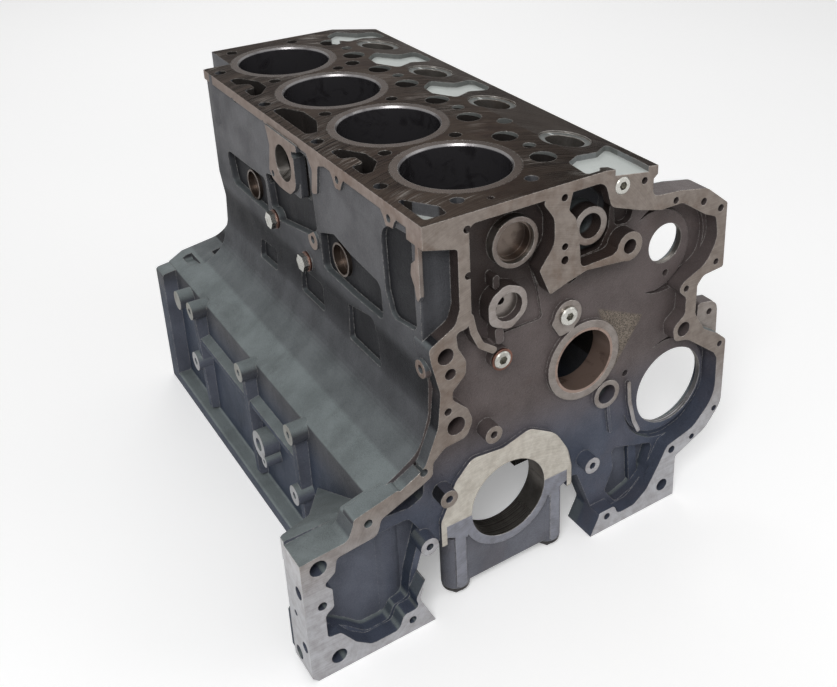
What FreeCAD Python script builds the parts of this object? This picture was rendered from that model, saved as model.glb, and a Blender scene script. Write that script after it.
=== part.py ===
import FreeCAD, Part
import math
import os

V = FreeCAD.Vector

# X runs across the block, Y along the crankshaft from the gear face (y = 0) to
# the far end, Z up from the crankshaft axis. All sizes are in millimetres. The
# pieces are saved with y measured from the front face of the first bearing.

# Cylinder bank
cylinders = 4
bore_pitch = 130.0
bore_d = 105.0
first_bore_y = 92.0
end_wall = 20.0
deck_z = 335.0
rail_z = -95.0
deck_thick = 14.0
deck_left_x = -91.0
deck_break_x = 105.0
deck_right_x = 168.5

# Cylinder liners, wet, hung from a top flange
liner_wall = 6.5
liner_flange_w = 3.0
liner_flange_h = 9.0
liner_guide_h = 46.0
liner_length = 206.0
liner_chamfer = 1.6
jacket_gap = 5.0
jacket_slot_h = 60.0
fit_gap = 0.05

# Crankshaft bearings
crank_r = 44.0
bearing_w = 26.0
cap_register_half = 73.0
cap_shoulder_h = 14.0
cap_body_half = 65.0
cap_h = 83.0
cap_boss_r = 15.0
cap_boss_foot = 3.0
cap_bolt_x = 57.0
cap_bolt_r = 8.0
cap_bolt_grip = 74.0
cap_bolt_flange_r = 14.4
cap_bolt_flange_h = 4.0
cap_bolt_head_half = 10.5
cap_bolt_head_h = 4.0
bearing_face_y = 12.0

# Camshaft tunnel
cam_x = 93.0
cam_z = 127.0
cam_r = 33.5
cam_bush_wall = 3.0
cam_ring_w = 8.0

# Valve gear and fuel pump bores
pushrod_x = 77.5
pushrod_r = 13.0
pushrod_half_gap = 32.0
pump_top_x = 127.0
pump_r = 20.0
pump_seat_r = 26.5
pump_seat_depth = 2.5

# Cylinder head bolts
head_bolt_r = 6.5
head_bolt_depth = 90.0
head_bolt_x = 39.5
outer_bolt_left_x = -79.0
outer_bolt_right_x = 83.5

# Gear case
gear_wall_y = 16.0
rim_depth = 27.0
upper_window_x = 198.0
upper_window_z = 222.0
upper_window_r = 22.0
upper_window_rise = 3.0
lower_window_x = 215.0
lower_window_z = 45.0
lower_window_r = 46.0

lug_x = 264.0
lug_z = 123.5

# Crankcase
wall = 12.0
skirt_x = 150.0
rail_x = 167.0
rail_h = 15.0
channel_half = 97.0
bulkhead_foot_z = -22.0
ridge_x = -119.0
ridge_z = 88.0
shoulder_z = 71.0
foot_x = -228.0
foot_depth = 38.0
cast_wall_x = -88.0

# Plugs and screws
ring_x = 8.5
ring_z = 287.0
core_plug_r = 18.0
gear_plug_r = 20.5
plug_wall = 2.2
side_screw_r = 6.0
side_screw_head = 8.6
side_washer_r = 11.0
side_washer_t = 2.0

# Derived places
block_length = first_bore_y + (cylinders - 0.5) * bore_pitch + end_wall
bore_r = bore_d / 2
liner_r = bore_r + liner_wall
liner_flange_r = liner_r + liner_flange_w
jacket_r = liner_r + jacket_gap
jacket_top = deck_z - deck_thick
liner_bottom = deck_z - liner_length
guide_bottom = liner_bottom + 8.0
jacket_bottom = guide_bottom + liner_guide_h
cam_bush_r = cam_r + cam_bush_wall
cam_ring_r = cam_bush_r + cam_ring_w
pump_tilt = math.atan2(pump_top_x - cam_x, deck_z - cam_z)
deck_right_z = deck_z - (deck_right_x - deck_break_x) * math.tan(pump_tilt)
bore_ys = [first_bore_y + i * bore_pitch for i in range(cylinders)]
bearing_ys = [first_bore_y + (i - 0.5) * bore_pitch for i in range(cylinders + 1)]
over = 5.0


def at_x(x):
    """Place outline points (y, z) on the plane at x."""
    return lambda a, b: V(x, a, b)


def at_y(y):
    """Place outline points (x, z) on the plane at y."""
    return lambda a, b: V(a, y, b)


def at_z(z):
    """Place outline points (x, y) on the plane at z."""
    return lambda a, b: V(a, b, z)


def corner_points(before, corner, after):
    """Points of one corner: itself, or the start, middle and end of its arc."""
    radius = corner[2] if len(corner) > 2 else 0.0
    if radius < 3:
        return [corner[:2]]
    ax, ay = before[0] - corner[0], before[1] - corner[1]
    bx, by = after[0] - corner[0], after[1] - corner[1]
    la, lb = math.hypot(ax, ay), math.hypot(bx, by)
    ax, ay, bx, by = ax / la, ay / la, bx / lb, by / lb
    half = math.acos(max(-1.0, min(1.0, ax * bx + ay * by))) / 2
    if half > math.radians(88):
        return [corner[:2]]
    tangent = min(radius / math.tan(half), 0.48 * min(la, lb))
    radius = tangent * math.tan(half)
    mx, my = ax + bx, ay + by
    lm = math.hypot(mx, my)
    reach = radius / math.sin(half) - radius
    start = (corner[0] + ax * tangent, corner[1] + ay * tangent)
    middle = (corner[0] + mx / lm * reach, corner[1] + my / lm * reach)
    end = (corner[0] + bx * tangent, corner[1] + by * tangent)
    return [start, middle, end]


def outline_face(corners, place):
    """Face inside a closed outline of corners (a, b) or (a, b, fillet radius)."""
    count = len(corners)
    parts = [corner_points(corners[i - 1], corners[i], corners[(i + 1) % count])
             for i in range(count)]
    edges = []
    for i, points in enumerate(parts):
        if len(points) == 3:
            edges.append(Part.Arc(*[place(*p) for p in points]).toShape())
        start, end = points[-1], parts[(i + 1) % count][0]
        if math.dist(start, end) > 1e-4:
            edges.append(Part.LineSegment(place(*start), place(*end)).toShape())
    return Part.Face(Part.Wire(edges))


def slab_x(corners, x0, x1):
    """Solid with a (y, z) outline between two x planes."""
    return outline_face(corners, at_x(x0)).extrude(V(x1 - x0, 0, 0))


def slab_y(corners, y0, y1):
    """Solid with an (x, z) outline between two y planes."""
    return outline_face(corners, at_y(y0)).extrude(V(0, y1 - y0, 0))


def slab_z(corners, z0, z1):
    """Solid with an (x, y) outline between two z planes."""
    return outline_face(corners, at_z(z0)).extrude(V(0, 0, z1 - z0))


def rod_x(y, z, r, x0, x1):
    """Round bar along X."""
    return Part.makeCylinder(r, abs(x1 - x0), V(min(x0, x1), y, z), V(1, 0, 0))


def rod_y(x, z, r, y0, y1):
    """Round bar along Y."""
    return Part.makeCylinder(r, y1 - y0, V(x, y0, z), V(0, 1, 0))


def rod_z(x, y, r, z0, z1):
    """Round bar along Z."""
    return Part.makeCylinder(r, z1 - z0, V(x, y, z0), V(0, 0, 1))


def block(x0, x1, y0, y1, z0, z1):
    """Rectangular solid between two corners."""
    return Part.makeBox(x1 - x0, y1 - y0, z1 - z0, V(x0, y0, z0))


def strip(path, half, place):
    """Outline of a band of constant half width along a path of points."""
    left, right = [], []
    for i, point in enumerate(path):
        before, after = path[max(i - 1, 0)], path[min(i + 1, len(path) - 1)]
        dx, dy = after[0] - before[0], after[1] - before[1]
        length = math.hypot(dx, dy)
        nx, ny = -dy / length * half, dx / length * half
        left.append((point[0] + nx, point[1] + ny, half * 2))
        right.append((point[0] - nx, point[1] - ny, half * 2))
    return place(left + right[::-1])


def rib_y(path, half, y0, y1):
    """Rib of constant width along an (x, z) path."""
    return strip(path, half, lambda corners: slab_y(corners, y0, y1))


def revolve_z(profile, x, y):
    """Ring or cup turned about an upright axis; profile is (radius, z)."""
    face = outline_face(profile, lambda a, b: V(x + a, y, b))
    return face.revolve(V(x, y, 0), V(0, 0, 1), 360)


def revolve_y(profile, x, z):
    """Ring or cup turned about an axis along Y; profile is (radius, y)."""
    face = outline_face(profile, lambda a, b: V(x + a, b, z))
    return face.revolve(V(x, 0, z), V(0, 1, 0), 360)


def revolve_x(profile, y, z):
    """Ring or cup turned about an axis along X; profile is (radius, x)."""
    face = outline_face(profile, lambda a, b: V(b, y, z + a))
    return face.revolve(V(0, y, z), V(1, 0, 0), 360)


def pump_point(y, down):
    """Point on a pump bore's axis, measured down from the sloping deck."""
    top_z = deck_z - (pump_top_x - deck_break_x) * math.tan(pump_tilt)
    return V(pump_top_x - down * math.sin(pump_tilt), y, top_z - down * math.cos(pump_tilt))


def pump_rod(y, r, down0, down1):
    """Round bar on a pump bore's tilted axis."""
    start = pump_point(y, down0)
    return Part.makeCylinder(r, down1 - down0, start, pump_point(y, down1) - start)


# Outlines of the casting

def body_section():
    """Outer section of the cylinder bank and crankcase behind the gear case."""
    right_wall = deck_right_x - 3.5
    return [(cast_wall_x, deck_z), (cast_wall_x, 205, 6), (-84, 170, 40), (-86, 136, 30),
            (-97, 102, 40), (ridge_x, ridge_z, 4), (-skirt_x, shoulder_z, 3), (-skirt_x, rail_z + rail_h, 3),
            (-rail_x, rail_z + rail_h, 3), (-rail_x, rail_z), (rail_x, rail_z),
            (rail_x, rail_z + rail_h, 3), (skirt_x, rail_z + rail_h, 3), (skirt_x, 62, 10),
            (right_wall, 92, 10), (right_wall, deck_right_z - 14, 3),
            (deck_right_x, deck_right_z - 9, 2), (deck_right_x, deck_right_z),
            (deck_break_x, deck_z)]


def channel_outline():
    """Open channel under the bearings, from the right rail over to the left rail."""
    half = channel_half
    return [(half, rail_z), (half + 12, rail_z + 24, 8), (half - 8, bulkhead_foot_z + 6, 6),
            (-half - 2, bulkhead_foot_z + 6, 6), (-half - 16, rail_z + 36, 10), (-half, rail_z)]


def face_outline():
    """Outer edge of the machined gear face."""
    top = deck_right_z
    return [(deck_left_x, deck_z), (deck_break_x, deck_z), (deck_right_x, top),
            (deck_right_x, top - 9, 2), (deck_right_x - 5, top - 13, 2),
            (deck_right_x - 5, top - 32, 8), (upper_window_x + 1, upper_window_z + 67.5, 12),
            (upper_window_x + 39, upper_window_z + 60, 20),
            (upper_window_x + 69, upper_window_z + 36, 4),
            (upper_window_x + 70, upper_window_z - 39, 3),
            (upper_window_x + 42, upper_window_z - 41, 10),
            (upper_window_x + 34, upper_window_z - 50, 6),
            (upper_window_x + 34, lower_window_z + 92, 10),
            (lower_window_x + 32, lower_window_z + 68, 10),
            (lower_window_x + 53, lower_window_z + 55, 8),
            (lower_window_x + 66.5, lower_window_z + 43, 8),
            (lower_window_x + 67, lower_window_z - 42, 25),
            (lower_window_x + 45, lower_window_z - 68, 30),
            (lower_window_x + 1, lower_window_z - 87, 6),
            (lower_window_x + 1, rail_z)] + channel_outline() + [
            (foot_x + 6, rail_z), (foot_x, rail_z + 6),
            (foot_x, 46), (-210, 48, 6), (-181, 50, 8), (-174, 66, 5), (-130, 77, 15),
            (-100, 92, 15), (-84, 130, 30), (-80, 165, 20), (-88, 200, 15), (-90, 215, 6),
            (-62, 230, 10), (-57, 245, 6), (-57, deck_z - 31, 4), (deck_left_x, deck_z - 22, 2)]


def cavity_outline():
    """Inner edge of the gear face rim, down to the pan rail on both sides."""
    top = deck_z - 11
    return [(-45, top, 8), (104, top, 12), (112, top - 28, 10), (150, top - 42, 12),
            (176, top - 49, 12), (upper_window_x + 6, upper_window_z + 53, 14),
            (upper_window_x + 38, upper_window_z + 31, 6),
            (upper_window_x + 54, upper_window_z + 24, 8),
            (upper_window_x + 59, upper_window_z - 2, 30),
            (upper_window_x + 44, upper_window_z - 28, 25),
            (upper_window_x + 16, upper_window_z - 39, 12),
            (upper_window_x + 7, upper_window_z - 48, 7),
            (upper_window_x + 19, upper_window_z - 60, 5),
            (upper_window_x + 19, upper_window_z - 80, 6),
            (upper_window_x + 3, upper_window_z - 92, 10),
            (upper_window_x + 6, lower_window_z + 68, 8),
            (lower_window_x + 8, lower_window_z + 64, 20),
            (lower_window_x + 50, lower_window_z + 31, 6),
            (lower_window_x + 55, lower_window_z + 22, 6),
            (lower_window_x + 56, lower_window_z - 28, 40),
            (lower_window_x + 26, lower_window_z - 58, 30),
            (lower_window_x - 12, lower_window_z - 67, 8),
            (lower_window_x - 26, lower_window_z - 92, 10),
            (lower_window_x - 40, rail_z + 26, 12), (158, rail_z + 14, 12),
            (channel_half + 37, rail_z + 13, 8), (channel_half + 33, rail_z + 26, 6),
            (channel_half + 12, rail_z + 26, 6),
            (channel_half + 11, rail_z + 24, 8), (channel_half - 10, bulkhead_foot_z, 4),
            (-channel_half, bulkhead_foot_z, 4), (-channel_half - 20, rail_z + 38, 8),
            (-channel_half - 17, rail_z + 26, 6), (-channel_half - 34, rail_z + 26, 6),
            (-channel_half - 40, rail_z + 11, 8),
            (-166, rail_z + 11, 12), (-182, rail_z + 24, 12), (-196, rail_z + 44, 6),
            (-209, rail_z + 46, 4), (-209, -22, 6), (-200, -16, 4), (-200, 5, 4), (-208, 13, 4),
            (-196, 22, 4), (-193, 37, 5), (-152, 41, 8), (-147, 57, 6), (-104, 74, 8),
            (-92, 80, 6), (-91, 94, 8), (-78, 105, 8), (-54, 107, 10), (-47, 123, 12),
            (-52, 138, 10), (-68, 154, 8), (-67, 163, 6), (-53, 176, 10), (-52, 190, 10),
            (-60, 206, 6), (-62, 222, 5), (-50, 223, 5), (-45, 232, 5)]


# Holes and bosses of the gear face: x, z, hole radius, depth
face_holes = [
    (-47, deck_z - 15, 3.6, 20), (-47, deck_z - 60, 3.6, 20), (57, deck_z - 14, 3.6, 20),
    (58, deck_z - 64, 3.6, 20), (58, deck_z - 78, 4.2, 20),
    (deck_right_x - 16.5, deck_right_z - 12, 3.6, 20),
    (upper_window_x - 3.5, upper_window_z + 58, 3.6, 18),
    (upper_window_x + 35, upper_window_z + 46, 4.0, 18),
    (upper_window_x + 60, upper_window_z + 32, 4.0, 18),
    (upper_window_x + 59, upper_window_z - 30, 3.6, 18),
    (upper_window_x + 18.5, upper_window_z - 49, 3.6, 18),
    (lower_window_x + 1.5, lower_window_z + 79, 8.5, 40),
    (lower_window_x + 57.5, lower_window_z + 40, 3.6, 18),
    (lower_window_x + 57, lower_window_z - 45.5, 3.6, 18),
    (lower_window_x + 25, lower_window_z - 70.5, 3.6, 18),
    (lower_window_x - 5, lower_window_z - 75, 4.6, 18),
    (lower_window_x - 17, rail_z + 21.5, 7.5, 26), (119.5, rail_z + 17, 4.0, 20),
    (-73, 202, 8.2, 22), (-69, 182, 5.6, 22), (-73, 143, 3.8, 20), (-65, 124, 9.5, 30),
    (-101, 87.5, 4.0, 18), (-160, 59, 4.2, 18), (-211, 35, 8.3, 24), (-211, -9.5, 4.4, 20),
    (-200, rail_z + 17.5, 7.8, 24), (-122, rail_z + 14.5, 4.0, 20)]

# Screw bosses that stand on the gear case wall: x, z, boss radius, hole radius
wall_bosses = [(-99, -1.5, 9.5, 3.8), (-75.5, 44, 9.5, 3.8), (-24, 95.5, 9.5, 3.8),
               (97.5, 1, 9.5, 3.8)]


def gear_web():
    """Upright web, bridge rib and screw boss that divide the gear case."""
    top = deck_z
    web = slab_y([(44, top - 5), (70, top - 5), (66, top - 12, 4), (62, top - 28, 5),
                  (70, top - 38, 5), (74, top - 55, 8), (77, top - 92, 6), (118, top - 91, 12),
                  (128, top - 78, 10), (150, top - 78, 10), (152, top - 98, 10),
                  (130, top - 102, 14), (84, top - 97, 8), (60, top - 103, 8),
                  (41, top - 109, 3), (29, top - 80, 3), (46, top - 58, 20),
                  (46, top - 32, 20), (32, top - 12, 8)], 0, gear_wall_y + over)
    boss = rod_y(137, top - 88, 15.5, 0, gear_wall_y + over)
    curved = rib_y([(-47, 236), (-43, 216), (-36, 200), (-20, 188)], 3.6, 0,
                   gear_wall_y + over)
    return [web, boss, curved]


def gear_case_additions():
    """Rings, bosses and ribs that stand on the gear case wall."""
    deep = gear_wall_y + over
    out = []
    for x, z, boss_r, _ in wall_bosses:
        out.append(rod_y(x, z, boss_r, 0, deep))
    out.append(rod_y(cam_x, cam_z, cam_ring_r, bearing_face_y, deep))
    out.append(slab_y(bearing_face_outline(), bearing_face_y, deep))
    out.append(rod_y(cam_x + 31, cam_z - 54, 16.5, bearing_face_y, deep))
    out.append(rod_y(cam_x - 21, cam_z + 59.5, 16.5, bearing_face_y, deep))
    out.append(slab_y([(cam_x - 41, cam_z + 56, 4), (cam_x - 30, cam_z + 71, 6),
                       (cam_x - 10, cam_z + 42, 4), (cam_x - 31, cam_z + 39, 4)],
                      bearing_face_y, deep))
    out.append(rod_y(ring_x, ring_z, 25.0, 8, deep + 4))
    out.append(slab_y([(-25, 214, 12), (-25, 240, 16), (-6, 251, 12), (16, 242, 16),
                       (18, 218, 16), (-2, 203, 10)], 3, deep))
    out.append(rib_y([(-14.5, 248), (-14.5, 262)], 3.4, 6, deep))
    out.append(rib_y([(-13, 208), (-12, 190)], 4.5, 5, deep))
    out.append(rod_y(-10, 172, 11.5, 7, deep))
    out.append(rod_y(97, deck_z - 59, 20, 12, 40))
    out.append(rib_y([(127, 62), (128, 46), (132, 20)], 2.0, 13, deep))
    out.append(rib_y([(154, 76), (156, 50), (163, 22), (171, 5)], 2.4, 12, deep))
    column = rod_z(-130, 46, 20, rail_z + 14, 24)
    out.append(column.common(block(-skirt_x, -channel_half, 0, bearing_ys[0] + bearing_w / 2,
                                   rail_z, 30)))
    out.append(rib_y([(172, -18), (176, -72)], 6, 24, 34))
    return out


def bearing_face_outline():
    """Pale machined face of the front main bearing wall."""
    r = cap_register_half + 6
    return [(-r, bulkhead_foot_z), (-r, 8, 10), (-70, 26, 20), (-62, 48, 20), (-42, 68, 14),
            (-6, 64, 20), (26, 73, 14), (58, 54, 40), (74, 26, 40), (r, 4, 10),
            (r, bulkhead_foot_z)]


def deep_pockets():
    """Pockets behind the gear case wall, each down to its own floor."""
    top = deck_z
    out = []
    front = slab_y([(-45, top - 11, 8), (30, top - 11, 14), (47, top - 30, 20),
                    (47, top - 60, 20), (30, top - 80, 6), (38, top - 108, 8),
                    (44, 192, 4), (-34, 192, 8), (-45, 222, 8)], gear_wall_y - over, 18.5)
    out.append(front)
    out.append(slab_y([(67, top - 11, 8), (103, top - 11, 10), (111, top - 30, 10),
                       (124, top - 42, 6), (122, top - 70, 10), (112, top - 89, 8),
                       (80, top - 91, 6), (75, top - 52, 8), (71, top - 38, 5),
                       (64, top - 28, 5)], gear_wall_y - over, 34))
    out.append(slab_y([(58, top - 112, 6), (92, top - 100, 8), (96, top - 106, 6),
                       (78, top - 116, 12)], gear_wall_y - over, 26))
    out.append(slab_y([(128, top - 44, 6), (154, top - 52, 6), (150, top - 72, 8),
                       (130, top - 70, 6)], gear_wall_y - over, 24))
    out.append(slab_y([(-148, 44, 5), (-144, 56, 5), (-104, 73, 6), (-93, 66, 8),
                       (-95, 46, 8), (-110, 40, 6)], gear_wall_y - over, 28))
    out.append(slab_y([(-204, rail_z + 48, 5), (-204, -24, 5), (-197, -14, 4), (-196, 16, 6),
                       (-160, 26, 5), (-channel_half - 15, 28, 8), (-channel_half - 3, 8, 8),
                       (-channel_half - 17, -40, 8), (-channel_half - 21, rail_z + 30, 6),
                       (-channel_half - 37, rail_z + 27, 6), (-channel_half - 43, rail_z + 13, 8),
                       (-165, rail_z + 13, 12), (-180, rail_z + 28, 10)],
                      gear_wall_y - over, 30))
    near = channel_half
    out.append(slab_y([(near + 39, -4, 6), (196, -24, 8), (186, -56, 8), (168, rail_z + 22, 8),
                       (near + 47, rail_z + 14, 6), (near + 31, -58, 6), (near + 42, -33, 4),
                       (near + 41, -18, 4)],
                      gear_wall_y - over, 30))
    upper = rod_y(upper_window_x, upper_window_z, 53, gear_wall_y - over, 21)
    upper = upper.cut(rod_y(upper_window_x - 14, upper_window_z - 2, 46, 0, 30))
    out.append(upper.common(slab_y(cavity_outline(), 0, 30)))
    lower = rod_y(lower_window_x, lower_window_z, 64, gear_wall_y - over, 22)
    lower = lower.cut(rod_y(lower_window_x - 8, lower_window_z + 4, 57, 0, 30))
    out.append(lower.common(slab_y(cavity_outline(), 0, 30)))
    return out


def crankcase_bays():
    """Open bays between the bulkheads, with the cam chamber on the right."""
    inner = skirt_x - wall
    profile = [(-inner, rail_z - over), (-inner, shoulder_z - 9, 8), (ridge_x + 6, ridge_z - 12, 8),
               (-76, 112, 20), (-66, guide_bottom, 10), (52, guide_bottom, 4),
               (cam_x - 34, cam_z + 30, 12), (cam_x - 20, cam_z + 46, 12),
               (cam_x + 30, cam_z + 46, 14), (cam_x + 46, cam_z + 10, 20),
               (inner, 76, 12), (inner, rail_z - over)]
    out = []
    for i in range(cylinders):
        y0 = bearing_ys[i] + bearing_w / 2
        y1 = bearing_ys[i + 1] - bearing_w / 2
        out.append(slab_y(profile, y0, y1))
    half = channel_half
    out.append(slab_y([(-half, rail_z - over), (half, rail_z - over)] + channel_outline(),
                      -over, block_length + over))
    return out


def water_jackets():
    """Coolant space round each liner, between the deck and the lower guide."""
    return [rod_z(0, y, jacket_r, jacket_bottom, jacket_top) for y in bore_ys]


def liner_seats():
    """Bores in the casting that take the liners."""
    out = []
    for y in bore_ys:
        out.append(rod_z(0, y, liner_flange_r + fit_gap, deck_z - liner_flange_h, deck_z + over))
        out.append(rod_z(0, y, liner_r + fit_gap, guide_bottom - 20, deck_z))
    return out


def kidney(y0, y1, hooked):
    """Coolant opening in the deck beside the left bolt row."""
    left, right = outer_bolt_left_x - 1, -55
    span = y1 - y0
    if not hooked:
        return [(left, y0, 5), (left + 12, y0, 5), (right, y0 + span * 0.35, 8),
                (right, y0 + span * 0.72, 8), (left + 12, y1, 5), (left, y1, 5)]
    return [(left, y0, 6), (left + 10, y0, 6), (right, y0 + 20, 8), (right, y1 - 24, 8),
            (left + 10, y1, 6), (left, y1, 4), (left, y1 - 22, 4), (left + 13, y1 - 27, 4),
            (left + 13, y1 - 44, 4), (left, y0 + 24, 4)]


def deck_openings():
    """Everything cut into the deck from above."""
    out = []
    low = jacket_top - jacket_slot_h
    gap = bore_pitch - 62
    for i in range(cylinders - 1):
        middle = bearing_ys[i + 1] + 0.5
        half = gap / 2 + (9 if i == 1 else 0)
        out.append(slab_z(kidney(middle - half, middle + half, i != 1), low, deck_z + over))
    out.append(slab_z([(-82, 63, 3), (-82, 10, 3), (-60, 10, 4), (-58, 26, 6)],
                      deck_z - 12, deck_z + over))
    for y in bearing_ys:
        for x in (-head_bolt_x, head_bolt_x):
            out.append(rod_z(x, y, head_bolt_r, deck_z - head_bolt_depth, deck_z + over))
    for y in bore_ys:
        for x in (outer_bolt_left_x, outer_bolt_right_x):
            out.append(rod_z(x, y, head_bolt_r, deck_z - head_bolt_depth, deck_z + over))
        for side in (-1, 1):
            out.append(rod_z(pushrod_x, y + 1 + side * pushrod_half_gap, pushrod_r,
                             cam_z + 35, deck_z + over))
        out.append(pump_rod(y, pump_r, -over, 176))
        out.append(pump_rod(y, pump_seat_r, -over, pump_seat_depth))
    out.append(rod_z(62, bearing_ys[3] + 7, 8.5, cam_z + 30, deck_z + over))
    out.append(rod_z(-13, 14.5, 3.0, deck_z - 14, deck_z + over))
    out.append(rod_z(101, bearing_ys[1] + 3, 8.0, deck_z - 40, deck_z + over))
    return out


def cast_patches():
    """Shallow as-cast areas left between the pump bores on the sloping deck."""
    floor = 6.0
    outlines = [
        [(85, 4, 4), (101, 4, 3), (103, 9, 3), (113, 9, 3), (117, -over), (156, -over),
         (158, 20, 6), (158, 66, 4), (132, 48, 12), (104, 44, 8), (88, 36, 8)]]
    for y, reach in ((bearing_ys[2] - 5, 34), (bearing_ys[3] - 5, 36), (bearing_ys[4] - 17, 26)):
        outlines.append([(84, y - 6, 8), (100, y - reach, 6), (124, y - reach * 0.5, 12),
                         (150, y - reach * 0.45, 8), (160, y - 4, 8), (158, y + reach - 4, 6),
                         (128, y + reach * 0.5, 12), (102, y + reach * 0.9, 6),
                         (86, y + reach * 0.5, 8)])
    out = []
    slope = math.tan(pump_tilt)
    for corners in outlines:
        cut = slab_z(corners, deck_right_z - 30, deck_z + over)
        keep = slab_y([(60, deck_z - floor), (deck_break_x, deck_z - floor),
                       (deck_right_x, deck_right_z - floor), (deck_right_x, deck_z + 20),
                       (60, deck_z + 20)], -over, block_length + over)
        out.append(cut.common(keep))
    return out


# Left wall

port_y = 282.5
port_z = deck_z - 41.0
port_r = 20.0
port_gap_z = deck_z - 17
core_plug_ys = (180.5, 402.5)
core_plug_z = 223.0
core_plug_rim_x = -84.0
screw_places = ((255, 190), (334, 208))
screw_boss_places = ((229, 227, 11.0), (15, 188, 9.0))
tab_ys = (58, 158)
port_bolts = ((port_y - 28, deck_z - 22.5), (port_y + 31, deck_z - 63.5))


def left_pads():
    """Machined pads and screw bosses that stand on the left wall."""
    edge, low = deck_left_x, deck_z - 11
    inside = cast_wall_x + 1
    out = [block(edge, inside, 0, 505, low, deck_z)]
    out.append(slab_x([(0, low + 1), (16, low + 1), (12, 316, 3), (14, 298, 4), (21, 292, 3),
                       (23, 281, 4), (17, 271, 4), (15, 260, 1), (12, 258.5, 1), (8, 264, 3),
                       (8, 313, 4), (0, 318)], edge, inside))
    for y in tab_ys:
        out.append(slab_x([(y - 15, low + 1), (y - 10, low - 5, 3), (y - 6, low - 13, 4),
                           (y + 5, low - 14, 4), (y + 9, low - 6, 3), (y + 15, low + 1)],
                          edge, inside))
    out.append(slab_x([(182, low + 1), (200, 319, 6), (207, 287, 3), (220, 282, 3), (214, 310, 6),
                       (226, low + 1)], edge, inside))
    out.append(slab_x([(322, low + 1), (315, 304, 4), (323, 273, 4), (315, 265, 4), (292, 261, 10),
                       (270, 263, 10), (257, 273, 8), (246, 299, 6), (245, low + 1)],
                      edge - 2, cast_wall_x + 9))
    for y, z, r in screw_boss_places:
        out.append(rod_x(y, z, r, edge, -70))
    for y in core_plug_ys:
        out.append(rod_x(y, core_plug_z, core_plug_r + 4, core_plug_rim_x, -70))
    out.append(rod_z(outer_bolt_left_x, bore_ys[-1] + 2, 13, deck_z - 60, deck_z))
    return out


def screw_seats():
    """Bosses under the two hexagon screws; they stand in and beside the recesses."""
    return [rod_x(y, z, side_washer_r + 1, deck_left_x + 3, -76) for y, z in screw_places]


def left_recesses():
    """Recesses of the left wall: core plug gallery, port recess and near panel."""
    deep = -80.0
    front = cast_wall_x - over
    out = [slab_x([(86, 200, 10), (150, 198, 6), (214, 199, 8), (216, 240, 6), (182, 252, 10),
                   (148, 245, 10), (88, 240, 10)], front, deep)]
    out.append(slab_x([(243, 226, 6), (328, 209, 8), (342, 220, 8), (350, 258, 6), (328, 262, 4),
                       (254, 262, 4), (254, port_gap_z, 6), (231, port_gap_z, 6), (224, 262, 4),
                       (222, 240, 4)], front, deep))
    out.append(slab_x([(352, 206, 8), (458, 206, 10), (470, 246, 10), (352, 250, 8)], front, deep))
    out.append(slab_x([(22, 222, 10), (68, 214, 10), (78, 238, 14), (80, 300, 20), (60, 312, 10),
                       (24, 316, 8)], front, deep - 3))
    out.append(slab_x([(103, 138, 4), (170, 138, 4), (170, 178, 4), (113, 191, 6)], front, deep))
    out.append(slab_x([(227, 140, 4), (284, 140, 4), (284, 169, 4), (231, 171, 6)], front, deep))
    out.append(slab_x([(351, 134, 4), (400, 132, 4), (396, 157, 6), (351, 160, 4)], front, deep))
    return out


def far_left_relief():
    """The left wall steps in behind the last bolt boss, above the shoulder."""
    near = bore_ys[-1] + 24
    wall_x, hollow_z = -58, 92
    top = slab_y([(ridge_x - 21, deck_z + over), (wall_x, deck_z + over), (wall_x, hollow_z + 68),
                  (wall_x - 3, hollow_z, 36), (ridge_x - 21, ridge_z - 8)],
                 near, block_length + over)
    boss = rod_z(outer_bolt_left_x, bore_ys[-1] + 2, 13, 0, deck_z + 2 * over)
    slot = slab_x([(block_length - 50, ridge_z - 8, 4), (block_length - 16, ridge_z - 14, 4),
                   (block_length - 16, ridge_z + 9), (block_length - 50, ridge_z + 15)],
                  -136, -124)
    return top.cut(boss).fuse(slot)


# Crankcase side: y, z, boss radius, hole radius (0 leaves the face blank)
side_column_ys = (156, 287, 440)
side_bosses = [(156, 62, 11, 3.8), (287, 63, 11, 3.8), (440, 65, 11, 3.8), (158, -16, 11, 3.8),
               (250, -10, 16, 7.5), (239, -26, 7, 2.6), (446, -9, 12, 4.5), (486, 58, 12, 0)]


def side_relief():
    """Columns, ledge, end flange and screw bosses of the left crankcase side."""
    face = -rail_x
    root = -skirt_x + over
    out = []
    for y, z, r, _ in side_bosses:
        out.append(rod_x(y, z, r, face - 1, root))
    for y in side_column_ys:
        out.append(slab_y([(root, 62), (face + 3, 60, 3), (face + 7, rail_z + rail_h + 4, 3),
                           (root, rail_z + rail_h)], y - 4.5, y + 4.5))
    out.append(slab_y([(root, 30), (face + 6, 26, 2), (face + 6, 20, 2), (root, 17)],
                      side_column_ys[0], side_column_ys[-1]))
    out.append(slab_y([(root, shoulder_z), (face, shoulder_z - 3, 4), (face, rail_z + 3),
                       (root, rail_z + 3)], block_length - 26, block_length))
    return out


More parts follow.
